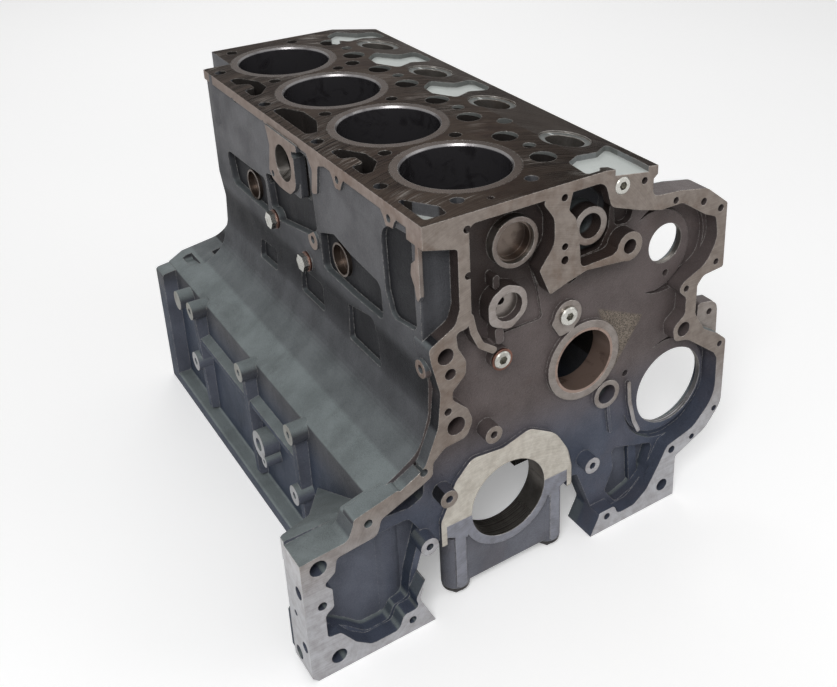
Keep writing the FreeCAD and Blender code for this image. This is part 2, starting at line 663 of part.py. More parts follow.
def left_foot():
    """Mounting foot at the gear end, its raised pad and the gusset behind it."""
    foot = slab_y([(foot_x, 46), (-210, 48, 6), (-181, 50, 8), (-skirt_x + over, 60),
                   (-skirt_x + over, rail_z), (foot_x + 6, rail_z), (foot_x, rail_z + 6)],
                  0, foot_depth)
    pad = slab_y([(-176, 52), (-174, 70, 4), (-128, 81, 4), (-112, 60)], 0, 20)
    heel = slab_y([(foot_x + 4, rail_z), (foot_x + 4, -48, 4), (-skirt_x, -42),
                   (-skirt_x, rail_z)], foot_depth - over, foot_depth + 17)
    root = -skirt_x + over
    slope = slab_x([(foot_depth - over, 28), (foot_depth - over, 50), (foot_depth + 4, 50),
                    (140, -2), (140, -24)], foot_x, root)
    plan = slab_z([(root, foot_depth - over), (root, 138), (-skirt_x, 138, 6), (-190, 64, 10),
                   (foot_x, foot_depth + 2), (foot_x, foot_depth - over)], -40, 90)
    return [foot, pad, heel, slope.common(plan)]


def right_side():
    """Bosses and ribs of the right side, and the foot behind the gear case."""
    face = rail_x + 1
    foot = slab_y([(skirt_x - over, rail_z), (lower_window_x + 1, rail_z),
                   (lower_window_x + 1, lower_window_z - 84, 6), (skirt_x - over, 10)],
                  0, foot_depth)
    out = [foot]
    for y in (156, 287, 417):
        out.append(rod_x(y, 40, 12, skirt_x - over, face))
        out.append(rod_x(y, -30, 12, skirt_x - over, face))
        out.append(slab_y([(skirt_x - over, 66), (face - 3, 62, 3), (face - 7, rail_z + rail_h, 3),
                           (skirt_x - over, rail_z + rail_h)], y - 4.5, y + 4.5))
    out.append(block(skirt_x - over, face, block_length - 26, block_length, rail_z, 66))
    out.append(slab_x([(210, 210, 14), (330, 210, 14), (330, 292, 14), (210, 292, 14)],
                      deck_right_x - over - 3.5, deck_right_x + 1))
    out.append(rod_y(lug_x, lug_z, 11.5, 11, rim_depth))
    out.append(slab_y([(lug_x - 17, lug_z + 16, 4), (lug_x + 4, lug_z + 12), (lug_x + 12, lug_z, 3),
                       (lug_x + 13, lug_z - 36), (lug_x - 20, lug_z - 20)], 11, rim_depth))
    return out


def window_collars():
    """Collars behind the two gear windows."""
    return [rod_y(upper_window_x, upper_window_z + upper_window_rise, upper_window_r + 14,
                  gear_wall_y, rim_depth + 2),
            rod_y(lower_window_x, lower_window_z, lower_window_r + 12, gear_wall_y, rim_depth + 2)]


def window_holes():
    """The two gear windows, counterbored from behind to a thin lip."""
    out = []
    for x, z, r in ((upper_window_x, upper_window_z + upper_window_rise, upper_window_r),
                    (lower_window_x, lower_window_z, lower_window_r)):
        out.append(rod_y(x, z, r, 0, rim_depth + over))
        out.append(rod_y(x, z, r + 5, gear_wall_y + 6, rim_depth + over))
    return out


def far_end_cuts():
    """Holes and shallow pockets of the far end face."""
    end = block_length
    out = []
    for x, z in ((-48, 300), (-48, 225), (-62, 140), (60, 300), (60, 225), (150, 240),
                 (150, 130), (-140, 40), (-140, -50), (120, -50), (140, 40), (-85, 60), (70, 62)):
        out.append(rod_y(x, z, 4.2, end - 20, end + over))
    out.append(slab_y([(-40, 210, 10), (-40, 310, 10), (50, 310, 10), (50, 210, 10)], end - 5,
                      end + over))
    out.append(slab_y([(70, 215, 10), (70, 300, 10), (140, 300, 10), (140, 215, 10)], end - 5,
                      end + over))
    out.append(slab_y([(-130, -60, 8), (-130, 30, 8), (-112, 40, 8), (-110, -60, 8)], end - 5,
                      end + over))
    return out


# Plugs of the gear face: x, z, radius, front plane, depth of the seat
gear_plugs = {"gallery_plug_upper": (125, deck_right_z - 10, 9.0, -1.0, 14),
              "gallery_plug_centre": (cam_x - 21, cam_z + 59.5, 10.0, bearing_face_y - 3, 24),
              "gallery_plug_left": (-10, 172, 9.0, 3.0, 22)}


def casting_cuts():
    """Every hole of the casting that takes another piece or a screw."""
    out = []
    end = block_length
    for x, z, r, depth in face_holes:
        out.append(rod_y(x, z, r, -over, depth))
    for x, z, _, hole_r in wall_bosses:
        out.append(rod_y(x, z, hole_r, -over, 18))
    out.append(rod_y(137, deck_z - 88, 7.8, -over, 26))
    out.append(rod_y(upper_window_x + 2.5, upper_window_z - 32, 3.8, -over, rim_depth - 3))
    out.append(rod_y(151, 86, 3.8, -over, 26))
    out.append(rod_y(lug_x, lug_z, 3.8, 0, 24))
    out.append(rod_y(0, 0, crank_r, -over, end + over))
    out.append(block(-cap_register_half, cap_register_half, -over, end + over,
                     bulkhead_foot_z - over, 0))
    out.append(rod_y(cam_x, cam_z, cam_bush_r, -over, end + over))
    out.append(rod_y(cam_x + 31, cam_z - 54, 11.0, -over, 34))
    out.append(rod_y(ring_x, ring_z, gear_plug_r, 0, 23))
    out.append(rod_y(97, deck_z - 59, 13, 0, 43))
    out.append(rod_y(-3, 227, 14.5, 0, 11))
    out.append(rod_y(-7, 231, 4.0, 0, 22))
    out.append(rod_y(-14, 225, 2.5, 0, 22))
    for x, z, r, front, depth in gear_plugs.values():
        out.append(rod_y(x, z, r, front, depth))
    for y in bearing_ys:
        for x in (-cap_bolt_x, cap_bolt_x):
            out.append(rod_z(x, y, cap_bolt_r + 0.3, -over, cap_bolt_grip))
    out.append(rod_x(port_y, port_z, port_r, deck_left_x - 4, outer_bolt_left_x + 4))
    for y, z in port_bolts:
        out.append(rod_x(y, z, 3.6, deck_left_x - 4, -76))
    for y in tab_ys:
        out.append(rod_x(y, deck_z - 15, 3.8, deck_left_x - 4, -76))
    for y, z in ((332, deck_z - 13), (418, deck_z - 13)):
        out.append(rod_x(y, z, 3.6, deck_left_x - 4, -78))
    for y, z, r in screw_boss_places:
        out.append(rod_x(y, z, 4.2, deck_left_x - 4, -76))
    for y, z in screw_places:
        out.append(rod_x(y, z, side_screw_r, deck_left_x - 4, -78))
    for y in core_plug_ys:
        out.append(rod_x(y, core_plug_z, core_plug_r, deck_left_x - 4, -70))
    for y, z, _, hole_r in side_bosses:
        if hole_r:
            out.append(rod_x(y, z, hole_r, -rail_x - 4, -skirt_x + 4))
    for y in (156, 287, 417):
        for z in (40, -30):
            out.append(rod_x(y, z, 4.2, skirt_x - 6, rail_x + 4))
    for y, z, r in ((10, 8, 6.5), (23, -26, 3.0), (10, -58, 5.5), (26, -78, 7.0)):
        out.append(rod_x(y, z, r, foot_x - 4, foot_x + 16))
    out.append(rod_x(44, -76, 3.5, foot_x, foot_x + 18))
    return out


def cylinder_block():
    """The one-piece casting."""
    solid = slab_y(body_section(), gear_wall_y - 2, block_length)
    solid = solid.fuse([slab_y(face_outline(), 0, rim_depth)] + left_pads() + side_relief()
                       + left_foot() + right_side() + window_collars())
    cavity = slab_y(cavity_outline(), -over, gear_wall_y)
    panel = slab_y([(-100, 232, 4), (-60, 238, 8), (-57, deck_z - 34, 6), (-100, deck_z - 26)],
                   -over, 5)
    solid = solid.cut([cavity, panel] + left_recesses() + [far_left_relief()])
    solid = solid.cut(deep_pockets() + crankcase_bays())
    solid = solid.fuse(gear_web() + gear_case_additions() + screw_seats())
    solid = solid.cut(block(-cap_register_half - 6, cap_register_half + 6, -over, gear_wall_y + 8,
                            bulkhead_foot_z - 30, bulkhead_foot_z))
    solid = solid.cut(water_jackets() + liner_seats() + deck_openings() + cast_patches())
    solid = solid.cut(casting_cuts() + window_holes() + far_end_cuts())
    return solid


# Separate pieces

def liner(y):
    """Wet cylinder liner hung from its top flange."""
    top = deck_z
    seat = top - liner_flange_h
    profile = [(bore_r, liner_bottom), (liner_r, liner_bottom), (liner_r, seat),
               (liner_flange_r, seat), (liner_flange_r, top), (bore_r + liner_chamfer, top),
               (bore_r, top - liner_chamfer * 1.6)]
    return revolve_z(profile, 0, y)


def cap_span(y):
    """Front and back planes of a main bearing cap."""
    front = bearing_face_y if y == bearing_ys[0] else y - bearing_w / 2
    return front, y + bearing_w / 2


def main_cap(y):
    """Main bearing cap seated in its register under a bulkhead."""
    front, back = cap_span(y)
    relief = 3.0
    shoulder, body = cap_register_half, cap_body_half
    rib_out, rib_in = body - 1, body - 13
    outline = [(-shoulder, 0), (-shoulder, -cap_shoulder_h, 2), (-body, -cap_shoulder_h - 5, 3),
               (-body, -cap_h + 6), (-body + 8, -cap_h), (body - 8, -cap_h),
               (body, -cap_h + 6), (body, -cap_shoulder_h - 5, 3), (shoulder, -cap_shoulder_h, 2),
               (shoulder, 0)]
    cap = slab_y(outline, front + relief, back)
    raised = slab_y([(-shoulder, 0), (-shoulder, -cap_shoulder_h, 2),
                     (-rib_out, -cap_shoulder_h - 4, 2), (-rib_out, -cap_h),
                     (-rib_in, -cap_h), (-rib_in, -cap_shoulder_h - 6, 3),
                     (-crank_r - 7, -cap_shoulder_h - 12, 2), (-crank_r - 4, -20),
                     (crank_r + 4, -20), (crank_r + 7, -cap_shoulder_h - 12, 2),
                     (rib_in, -cap_shoulder_h - 6, 3), (rib_in, -cap_h),
                     (rib_out, -cap_h), (rib_out, -cap_shoulder_h - 4, 2),
                     (shoulder, -cap_shoulder_h, 2), (shoulder, 0)], front, front + relief + 1)
    ring = rod_y(0, 0, crank_r + 9.5, front, front + relief + 1)
    ring = ring.cut(block(-90, 90, front - over, back, 0, 90))
    columns = [rod_z(x, y, cap_boss_r, -cap_h - cap_boss_foot, -cap_shoulder_h - 8)
               for x in (-cap_bolt_x, cap_bolt_x)]
    cap = cap.fuse([raised, ring] + columns)
    cuts = [rod_y(0, 0, crank_r, front - over, back + over)]
    for x in (-cap_bolt_x, cap_bolt_x):
        cuts.append(rod_z(x, y, cap_bolt_r + 0.3, -cap_h - over, over))
    return cap.cut(cuts)


def cap_bolts():
    """Flanged hexagon bolts that hold the main caps."""
    bolts = []
    seat = -cap_h - cap_boss_foot
    for y in bearing_ys:
        for x in (-cap_bolt_x, cap_bolt_x):
            shank = rod_z(x, y, cap_bolt_r, seat - 1, cap_bolt_grip - 6)
            flange = rod_z(x, y, cap_bolt_flange_r, seat - cap_bolt_flange_h, seat)
            hexagon = hex_bar(V(x, y, seat - cap_bolt_flange_h), cap_bolt_head_half,
                              V(0, 0, -1), cap_bolt_head_h)
            bolts.append(shank.fuse([flange, hexagon]))
    return Part.makeCompound(bolts)


def hex_bar(start, half_flats, direction, length):
    """Hexagonal bar of half width half_flats across its flats."""
    corner_r = half_flats / math.cos(math.pi / 6)
    axis = V(direction)
    side = axis.cross(V(0, 0, 1)) if abs(axis.z) < 0.9 else V(1, 0, 0)
    side.normalize()
    other = axis.cross(side)
    points = []
    for k in range(7):
        angle = math.radians(60 * k)
        points.append(start + side * (corner_r * math.cos(angle))
                      + other * (corner_r * math.sin(angle)))
    return Part.Face(Part.makePolygon(points)).extrude(axis * length)


def cam_bush(y):
    """Wrapped bearing bush in the camshaft tunnel."""
    front, back = cap_span(y)
    outer = rod_y(cam_x, cam_z, cam_bush_r, front, back)
    return outer.cut(rod_y(cam_x, cam_z, cam_r, front - over, back + over))


def cup_profile(r, rim, floor):
    """Section of a pressed cup plug, from its open rim to its floor."""
    back = floor + plug_wall * (1 if floor > rim else -1)
    return [(0, back), (r, back), (r, rim), (r - plug_wall, rim), (r - plug_wall, floor),
            (0, floor)]


def side_core_plug(y):
    """Pressed cup plug in the left wall, rim outwards."""
    rim = core_plug_rim_x
    return revolve_x(cup_profile(core_plug_r, rim, rim + 8), y, core_plug_z)


def gear_core_plug():
    """Large pressed cup plug in the ringed boss of the gear case."""
    return revolve_y(cup_profile(gear_plug_r, 12.0, 20.5), ring_x, ring_z)


def cam_end_plug():
    """Disc plug that closes the camshaft tunnel at the far end."""
    end = block_length
    return rod_y(cam_x, cam_z, cam_bush_r, end - 6, end - 1)


def socket_plug(name):
    """Screwed gallery plug with a flanged head and a hexagon socket."""
    x, z, r, front, depth = gear_plugs[name]
    head = revolve_y([(0, front), (r - 1.2, front), (r, front + 1.2), (r, depth - 1),
                      (0, depth - 1)], x, z)
    return head.cut(hex_bar(V(x, front - 1, z), 4.0, V(0, 1, 0), 9))


def seal_ring(name):
    """Copper sealing ring under the head of a gallery plug."""
    x, z, r, front, depth = gear_plugs[name]
    return revolve_y([(r, front + 1.6), (r + 2.2, front + 1.6), (r + 2.2, 7.0), (r, 7.0)], x, z)


def side_screws():
    """Two hexagon head screws in the left wall."""
    seat = deck_left_x + 3 - side_washer_t
    out = []
    for y, z in screw_places:
        shank = rod_x(y, z, side_screw_r - fit_gap, seat - 1, -79)
        head = hex_bar(V(seat, y, z), side_screw_head, V(-1, 0, 0), 6.5)
        out.append(shank.fuse(head))
    return Part.makeCompound(out)


def side_washers():
    """Copper sealing washers under the two side screws."""
    seat = deck_left_x + 3
    outer = seat - side_washer_t
    return Part.makeCompound([
        revolve_x([(side_screw_r, outer), (side_washer_r, outer), (side_washer_r, seat),
                   (side_screw_r, seat)], y, z) for y, z in screw_places])


def save(name, shape):
    """Write one node, with the front bearing face moved to y = 0."""
    shape.translate(V(0, -bearing_face_y, 0))
    shape.exportStep("parts/" + name + ".step")
    print(name, shape.isValid(), len(shape.Solids), round(shape.Volume / 1000, 1))


def main():
    os.makedirs("parts", exist_ok=True)
    save("cylinder_block", cylinder_block())
    for i, y in enumerate(bore_ys):
        save("cylinder_liner_%d" % (i + 1), liner(y))
    for i, y in enumerate(bearing_ys):
        save("main_bearing_cap_%d" % (i + 1), main_cap(y))
        save("camshaft_bush_%d" % (i + 1), cam_bush(y))
    save("main_cap_bolts", cap_bolts())
    save("core_plug_side_near", side_core_plug(core_plug_ys[0]))
    save("core_plug_side_far", side_core_plug(core_plug_ys[1]))
    save("core_plug_gear_case", gear_core_plug())
    save("camshaft_end_plug", cam_end_plug())
    for name in gear_plugs:
        save(name, socket_plug(name))
    save("gallery_plug_seal", seal_ring("gallery_plug_left"))
    save("side_screws", side_screws())
    save("side_screw_washers", side_washers())


main()
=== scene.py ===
"""Bare engine block: finishes, small hardware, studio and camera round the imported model."""

import logging
import math
from dataclasses import dataclass
from enum import Enum

import bpy
from mathutils import Matrix, Vector

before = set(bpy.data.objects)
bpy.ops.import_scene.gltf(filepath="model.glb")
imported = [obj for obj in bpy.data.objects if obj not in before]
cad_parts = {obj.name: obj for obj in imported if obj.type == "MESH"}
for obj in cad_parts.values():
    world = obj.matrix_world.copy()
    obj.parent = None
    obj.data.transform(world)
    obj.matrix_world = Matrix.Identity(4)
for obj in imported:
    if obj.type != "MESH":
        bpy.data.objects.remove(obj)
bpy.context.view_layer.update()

log = logging.getLogger("engine_block")

Colour = tuple[float, float, float]
Triple = tuple[float, float, float]
Band = tuple[float, float]
Socket = bpy.types.NodeSocket

# Lengths are in metres, in the frame of the CAD model.
DECK_Z = 0.335
DECK_BREAK_X = 0.105
DECK_TILT = math.atan2(0.034, 0.208)
TILT_AXIS = (math.sin(DECK_TILT), 0.0, math.cos(DECK_TILT))
TILT_LEVEL = DECK_BREAK_X * TILT_AXIS[0] + DECK_Z * TILT_AXIS[2]
BORE_PITCH = 0.130
FIRST_BORE_Y = 0.080
BORE_COUNT = 4
BEARING_COUNT = 5
MAIN_BEARING_RADIUS = 0.044
CAM_X, CAM_Z = 0.093, 0.127

# Cosines that the masks of planes and bores compare with, and a limit that bounds nothing.
SAME_WAY = 0.96
SQUARE_TO_AXIS = 0.5
EVERYWHERE = 1.0


class Kind(Enum):
    """Value types of a node group's sockets."""

    VALUE = "NodeSocketFloat"
    VECTOR = "NodeSocketVector"


class Turning(Enum):
    """Axis that a turned or bored surface runs round."""

    ALONG_Y = (0.0, 1.0, 0.0)
    ALONG_Z = (0.0, 0.0, 1.0)


def paint(code: str) -> Colour:
    """Turn a six-digit sRGB code into a linear colour.

    Args:
        code: Six hexadecimal digits.

    Returns:
        The linear red, green and blue.
    """
    parts = [int(code[i:i + 2], 16) / 255 for i in (0, 2, 4)]
    return tuple(p / 12.92 if p <= 0.04045 else ((p + 0.055) / 1.055) ** 2.4 for p in parts)


class Graph:
    """Adds nodes to one tree and links their sockets."""

    def __init__(self, tree: bpy.types.NodeTree) -> None:
        """Keep the tree that the nodes go into."""
        self.tree = tree

    def put(self, socket: Socket, value: object) -> None:
        """Link a socket to another socket, or set its constant.

        Args:
            socket: The input to fill.
            value: Another socket, or the constant.
        """
        if isinstance(value, bpy.types.NodeSocket):
            self.tree.links.new(value, socket)
        elif socket.type == "RGBA" and len(value) == 3:
            socket.default_value = (*value, 1.0)
        else:
            socket.default_value = value

    def add(self, kind: str, inputs: dict[str | int, object] | None = None,
            **settings: object) -> bpy.types.Node:
        """Add one node.

        Args:
            kind: Node type without its ShaderNode prefix.
            inputs: Socket name or number to a constant or another socket.
            settings: Attributes set on the node before its inputs.

        Returns:
            The new node.
        """
        node = self.tree.nodes.new("ShaderNode" + kind)
        for name, value in settings.items():
            setattr(node, name, value)
        for name, value in (inputs or {}).items():
            self.put(node.inputs[name], value)
        return node

    def math(self, operation: str, first: object, second: object = 0.0,
             third: object = 0.0) -> Socket:
        """Result of a Math node on up to three values."""
        node = self.add("Math", {0: first, 1: second, 2: third}, operation=operation)
        return node.outputs[0]

    def vector(self, operation: str, first: object, second: object = (0.0, 0.0, 0.0)) -> Socket:
        """Result of a Vector Math node; dot and length give a value."""
        node = self.add("VectorMath", {0: first, 1: second}, operation=operation)
        return node.outputs["Value" if operation in ("DOT_PRODUCT", "LENGTH") else "Vector"]

    def over(self, value: object, limit: object) -> Socket:
        """One where a value is above a limit, and nothing elsewhere."""
        return self.math("GREATER_THAN", value, limit)

    def under(self, value: object, limit: object) -> Socket:
        """One where a value is below a limit, and nothing elsewhere."""
        return self.math("LESS_THAN", value, limit)

    def all_of(self, first: object, *others: object) -> Socket:
        """Product of masks, which is one only where all of them are.

        Args:
            first: The first mask.
            others: The masks that it is multiplied by, in order.

        Returns:
            The product's socket.
        """
        product = first
        for mask in others:
            product = self.math("MULTIPLY", product, mask)
        return product

    def step(self, value: object, low: object, high: object) -> Socket:
        """Value mapped from low..high to 0..1 along a soft curve, and held there."""
        inputs = {0: value, 1: low, 2: high}
        return self.add("MapRange", inputs, interpolation_type="SMOOTHSTEP").outputs[0]

    def mix(self, factor: object, first: object, second: object, how: str = "MIX") -> Socket:
        """Colour between two colours."""
        node = self.add("Mix", {0: factor, 6: first, 7: second}, data_type="RGBA", blend_type=how)
        return node.outputs[2]

    def tinted(self, tone: object, tint: Colour) -> Socket:
        """Colour multiplied by a tint."""
        return self.mix(1.0, tone, tint, "MULTIPLY")

    def between(self, factor: object, first: object, second: object) -> Socket:
        """Value between two values."""
        return self.add("Mix", {0: factor, 2: first, 3: second}).outputs[0]

    def noise(self, where: object, scale: object, detail: float = 4.0, rough: float = 0.55,
              skew: float = 0.0) -> Socket:
        """Value of a Noise texture.

        Args:
            where: Position.
            scale: How fine the texture is.
            detail: Number of finer layers.
            rough: Strength of the finer layers.
            skew: How far the texture is twisted.

        Returns:
            The value socket.
        """
        inputs = {"Vector": where, "Scale": scale, "Detail": detail, "Roughness": rough,
                  "Distortion": skew}
        return self.add("TexNoise", inputs).outputs[0]

    def split(self, where: object) -> tuple[Socket, Socket, Socket]:
        """The three parts of a vector."""
        return tuple(self.add("SeparateXYZ", {0: where}).outputs)

    def join(self, x: object, y: object, z: object) -> Socket:
        """Vector made of three values."""
        return self.add("CombineXYZ", {0: x, 1: y, 2: z}).outputs[0]

    def repeated(self, where: object, first: float, pitch: float) -> Socket:
        """Position folded back to the first of the bores, which repeat along the block.

        Args:
            where: Position.
            first: Where the first bore's axis lies along the block.
            pitch: Distance from one bore to the next.

        Returns:
            The folded position.
        """
        x, y, z = self.split(where)
        turns = self.math("ROUND", self.math("DIVIDE", self.math("SUBTRACT", y, first), pitch))
        turns = self.math("MINIMUM", self.math("MAXIMUM", turns, 0.0), BORE_COUNT - 1.0)
        return self.join(x, self.math("SUBTRACT", y, self.math("MULTIPLY", turns, pitch)), z)

    def group(self, tree: bpy.types.NodeTree, inputs: dict[str, object]) -> bpy.types.Node:
        """Place a shared group with its own values.

        Args:
            tree: The shared group.
            inputs: Socket name to a constant or another socket.

        Returns:
            The group's node.
        """
        node = self.tree.nodes.new("ShaderNodeGroup")
        node.node_tree = tree
        for name, value in inputs.items():
            self.put(node.inputs[name], value)
        return node


class SharedGroups:
    """The shader groups that several finishes use, each built once."""

    def __init__(self) -> None:
        """Build every group."""
        self.skin = self._cast_skin()
        self.mill = self._mill_lines()
        self.lathe = self._lathe_lines()
        self.edge = self._edge()
        self.plane = self._plane_mask()
        self.bore = self._bore_mask()
        self.film = self._film()

    @staticmethod
    def _start(name: str, inputs: dict[str, tuple[Kind, object]],
               outputs: dict[str, Kind]) -> tuple[Graph, dict[str, Socket], bpy.types.Node]:
        """Make an empty group with its sockets.

        Args:
            name: Name of the group.
            inputs: Socket name to its kind and its usual value.
            outputs: Socket name to its kind.

        Returns:
            The group's graph, its inputs by name, and its output node.
        """
        tree = bpy.data.node_groups.new(name, "ShaderNodeTree")
        for label, (kind, value) in inputs.items():
            made = tree.interface.new_socket(label, in_out="INPUT", socket_type=kind.value)
            if value is not None:
                made.default_value = value
        for label, kind in outputs.items():
            tree.interface.new_socket(label, in_out="OUTPUT", socket_type=kind.value)
        source = tree.nodes.new("NodeGroupInput")
        return Graph(tree), {s.name: s for s in source.outputs}, tree.nodes.new("NodeGroupOutput")

    def _cast_skin(self) -> bpy.types.NodeTree:
        """Sand-cast surface: lumps, grain and pits, as a height and a tone.

        Returns:
            The group.
        """
        g, i, out = self._start("cast_skin", {"Where": (Kind.VECTOR, None),
                                              "Grain": (Kind.VALUE, 900.0),
                                              "Lumps": (Kind.VALUE, 160.0)},
                                {"Height": Kind.VALUE, "Tone": Kind.VALUE})
        grain = g.noise(i["Where"], scale=i["Grain"], detail=3.0, rough=0.65)
        lumps = g.noise(i["Where"], scale=i["Lumps"], detail=4.0, rough=0.6)
        cells = g.add("TexVoronoi", {"Vector": i["Where"], "Scale": g.math(
            "MULTIPLY", i["Grain"], 0.42)}, feature="SMOOTH_F1").outputs[0]
        pits = g.step(cells, 0.05, 0.4)
        height = g.math("MULTIPLY_ADD", grain, 0.45, g.math("MULTIPLY", lumps, 0.6))
        g.put(out.inputs["Height"], g.math("MULTIPLY_ADD", pits, 0.22, height))
        tone = g.math("MULTIPLY_ADD", g.noise(i["Where"], scale=22.0, detail=5.0, rough=0.6), 0.6,
                      g.math("MULTIPLY", grain, 0.4))
        g.put(out.inputs["Tone"], g.step(tone, 0.36, 0.66))
        return g.tree

    def _mill_lines(self) -> bpy.types.NodeTree:
        """Arcs that a face mill leaves on a flat, from in-plane coordinates, with bright
        scratches along them that are partly painted glints.

        Returns:
            The group.
        """
        g, i, out = self._start("mill_lines", {"Flat": (Kind.VECTOR, None),
                                               "Sweep": (Kind.VALUE, 0.17),
                                               "Density": (Kind.VALUE, 900.0)},
                                {"Lines": Kind.VALUE, "ScratchGlints": Kind.VALUE})
        u, v, _ = g.split(i["Flat"])
        square = g.math("SUBTRACT", g.math("MULTIPLY", i["Sweep"], i["Sweep"]),
                        g.math("MULTIPLY", u, u))
        rise = g.math("SQRT", g.math("MAXIMUM", square, 0.0001))
        ahead = g.join(g.math("MULTIPLY", g.math("SUBTRACT", v, rise), i["Density"]),
                       g.math("MULTIPLY", u, 3.0), 0.0)
        behind = g.join(g.math("MULTIPLY", g.math("ADD", v, rise), i["Density"]),
                        g.math("MULTIPLY", u, 4.0), 7.0)
        first = g.noise(ahead, scale=1.0, detail=2.0, rough=0.7)
        second = g.noise(behind, scale=0.8, detail=2.0, rough=0.7)
        both = g.math("MULTIPLY_ADD", first, 0.86, g.math("MULTIPLY", second, 0.14))
        g.put(out.inputs["Lines"], g.step(both, 0.38, 0.62))
        # Bright streaks along the arcs: scratches, partly painted glints.
        streak = g.join(g.math("MULTIPLY", g.math("SUBTRACT", v, rise), 1500.0),
                        g.math("MULTIPLY", u, 22.0), 3.0)
        wander = g.math("MULTIPLY", g.step(g.noise(streak, scale=1.0, detail=1.0), 0.6, 0.72),
                        g.step(g.noise(i["Flat"], scale=16.0, detail=2.0), 0.45, 0.62))
        g.put(out.inputs["ScratchGlints"], wander)
        return g.tree

    def _lathe_lines(self) -> bpy.types.NodeTree:
        """Fine rings left round an axis by turning or boring.

        Returns:
            The group.
        """
        g, i, out = self._start("lathe_lines", {"Where": (Kind.VECTOR, None),
                                                "Axis": (Kind.VECTOR, (0.0, 0.0, 1.0)),
                                                "Density": (Kind.VALUE, 2500.0)},
                                {"Lines": Kind.VALUE})
        along = g.vector("DOT_PRODUCT", i["Where"], i["Axis"])
        axial = g.add("VectorMath", {0: i["Axis"], "Scale": along}, operation="SCALE").outputs[0]
        radius = g.vector("LENGTH", g.vector("SUBTRACT", i["Where"], axial))
        rings = g.join(g.math("MULTIPLY", along, i["Density"]),
                       g.math("MULTIPLY", radius, i["Density"]), 0.0)
        g.put(out.inputs["Lines"], g.noise(rings, scale=1.0, detail=2.0, rough=0.7))
        return g.tree

    def _edge(self) -> bpy.types.NodeTree:
        """Rounded edge normal, and a mask of where edges are bright, partly rubbed metal and
        partly a painted highlight.

        Returns:
            The group.
        """
        g, i, out = self._start("edge_round", {"Where": (Kind.VECTOR, None),
                                               "Reach": (Kind.VALUE, 0.0012)},
                                {"Normal": Kind.VECTOR, "Mask": Kind.VALUE})
        bevel = g.add("Bevel", {"Radius": i["Reach"]}, samples=4)
        flat = g.add("NewGeometry").outputs["Normal"]
        turn = g.math("SUBTRACT", 1.0, g.vector("DOT_PRODUCT", bevel.outputs[0], flat))
        broken = g.noise(i["Where"], scale=260.0, detail=3.0, rough=0.7)
        # Bright edges: partly rubbed metal, partly a painted highlight.
        worn_and_lit = g.math("MULTIPLY", g.step(turn, 0.02, 0.22), g.step(broken, 0.35, 0.62))
        g.put(out.inputs["Normal"], bevel.outputs[0])
        g.put(out.inputs["Mask"], worn_and_lit)
        return g.tree

    def _plane_mask(self) -> bpy.types.NodeTree:
        """Mask of one machined plane, from its axis and its level along that axis.

        Returns:
            The group.
        """
        g, i, out = self._start("plane_mask", {"Where": (Kind.VECTOR, None),
                                               "Facing": (Kind.VECTOR, None),
                                               "Axis": (Kind.VECTOR, (0.0, 0.0, 1.0)),
                                               "Level": (Kind.VALUE, 0.0),
                                               "Slack": (Kind.VALUE, 0.0003)},
                                {"Mask": Kind.VALUE})
        along = g.vector("DOT_PRODUCT", i["Where"], i["Axis"])
        near = g.under(g.math("ABSOLUTE", g.math("SUBTRACT", along, i["Level"])), i["Slack"])
        facing = g.over(g.vector("DOT_PRODUCT", i["Facing"], i["Axis"]), SAME_WAY)
        g.put(out.inputs["Mask"], g.all_of(near, facing))
        return g.tree

    def _bore_mask(self) -> bpy.types.NodeTree:
        """Mask of a bored wall, from a point on its axis, the axis and the radius.

        Returns:
            The group.
        """
        g, i, out = self._start("bore_mask", {"Where": (Kind.VECTOR, None),
                                              "Facing": (Kind.VECTOR, None),
                                              "Centre": (Kind.VECTOR, None),
                                              "Axis": (Kind.VECTOR, (0.0, 1.0, 0.0)),
                                              "Radius": (Kind.VALUE, 0.01),
                                              "Slack": (Kind.VALUE, 0.0006)},
                                {"Mask": Kind.VALUE})
        arm = g.vector("SUBTRACT", i["Where"], i["Centre"])
        along = g.vector("DOT_PRODUCT", arm, i["Axis"])
        axial = g.add("VectorMath", {0: i["Axis"], "Scale": along}, operation="SCALE").outputs[0]
        reach = g.vector("LENGTH", g.vector("SUBTRACT", arm, axial))
        gap = g.math("ABSOLUTE", g.math("SUBTRACT", reach, i["Radius"]))
        across = g.math("ABSOLUTE", g.vector("DOT_PRODUCT", i["Facing"], i["Axis"]))
        near = g.under(gap, i["Slack"])
        g.put(out.inputs["Mask"], g.all_of(near, g.under(across, SQUARE_TO_AXIS)))
        return g.tree

    def _film(self) -> bpy.types.NodeTree:
        """Large soft patches, as dust, oil or a faint rust bloom lies on metal.

        Returns:
            The group.
        """
        g, i, out = self._start("film", {"Where": (Kind.VECTOR, None),
                                         "Size": (Kind.VALUE, 14.0),
                                         "Low": (Kind.VALUE, 0.5),
                                         "High": (Kind.VALUE, 0.66)}, {"Mask": Kind.VALUE})
        large = g.noise(i["Where"], scale=i["Size"], detail=6.0, rough=0.62, skew=0.8)
        g.put(out.inputs["Mask"], g.step(large, i["Low"], i["High"]))
        return g.tree


@dataclass(frozen=True)
class Flat:
    """One plane of the casting and its tone, machined unless cast is set.

    A ceiling bounds it in height, and a reach bounds it to both sides of the middle.
    """

    axis: Triple
    level: float
    tone: Colour
    slack: float = 0.0003
    ceiling: float = EVERYWHERE
    reach: float = EVERYWHERE
    cast: bool = False


@dataclass(frozen=True)
class BoredHole:
    """A bored wall of the casting; a pitch repeats it along the block."""

    centre: Triple
    axis: Triple
    radius: float
    pitch: float = 0.0


def blank_material(name: str) -> tuple[bpy.types.Material, Graph]:
    """Make a material with no nodes.

    Args:
        name: Name of the material.

    Returns:
        The material and the graph of its nodes.
    """
    material = bpy.data.materials.new(name)
    material.use_nodes = True
    material.node_tree.nodes.clear()
    return material, Graph(material.node_tree)


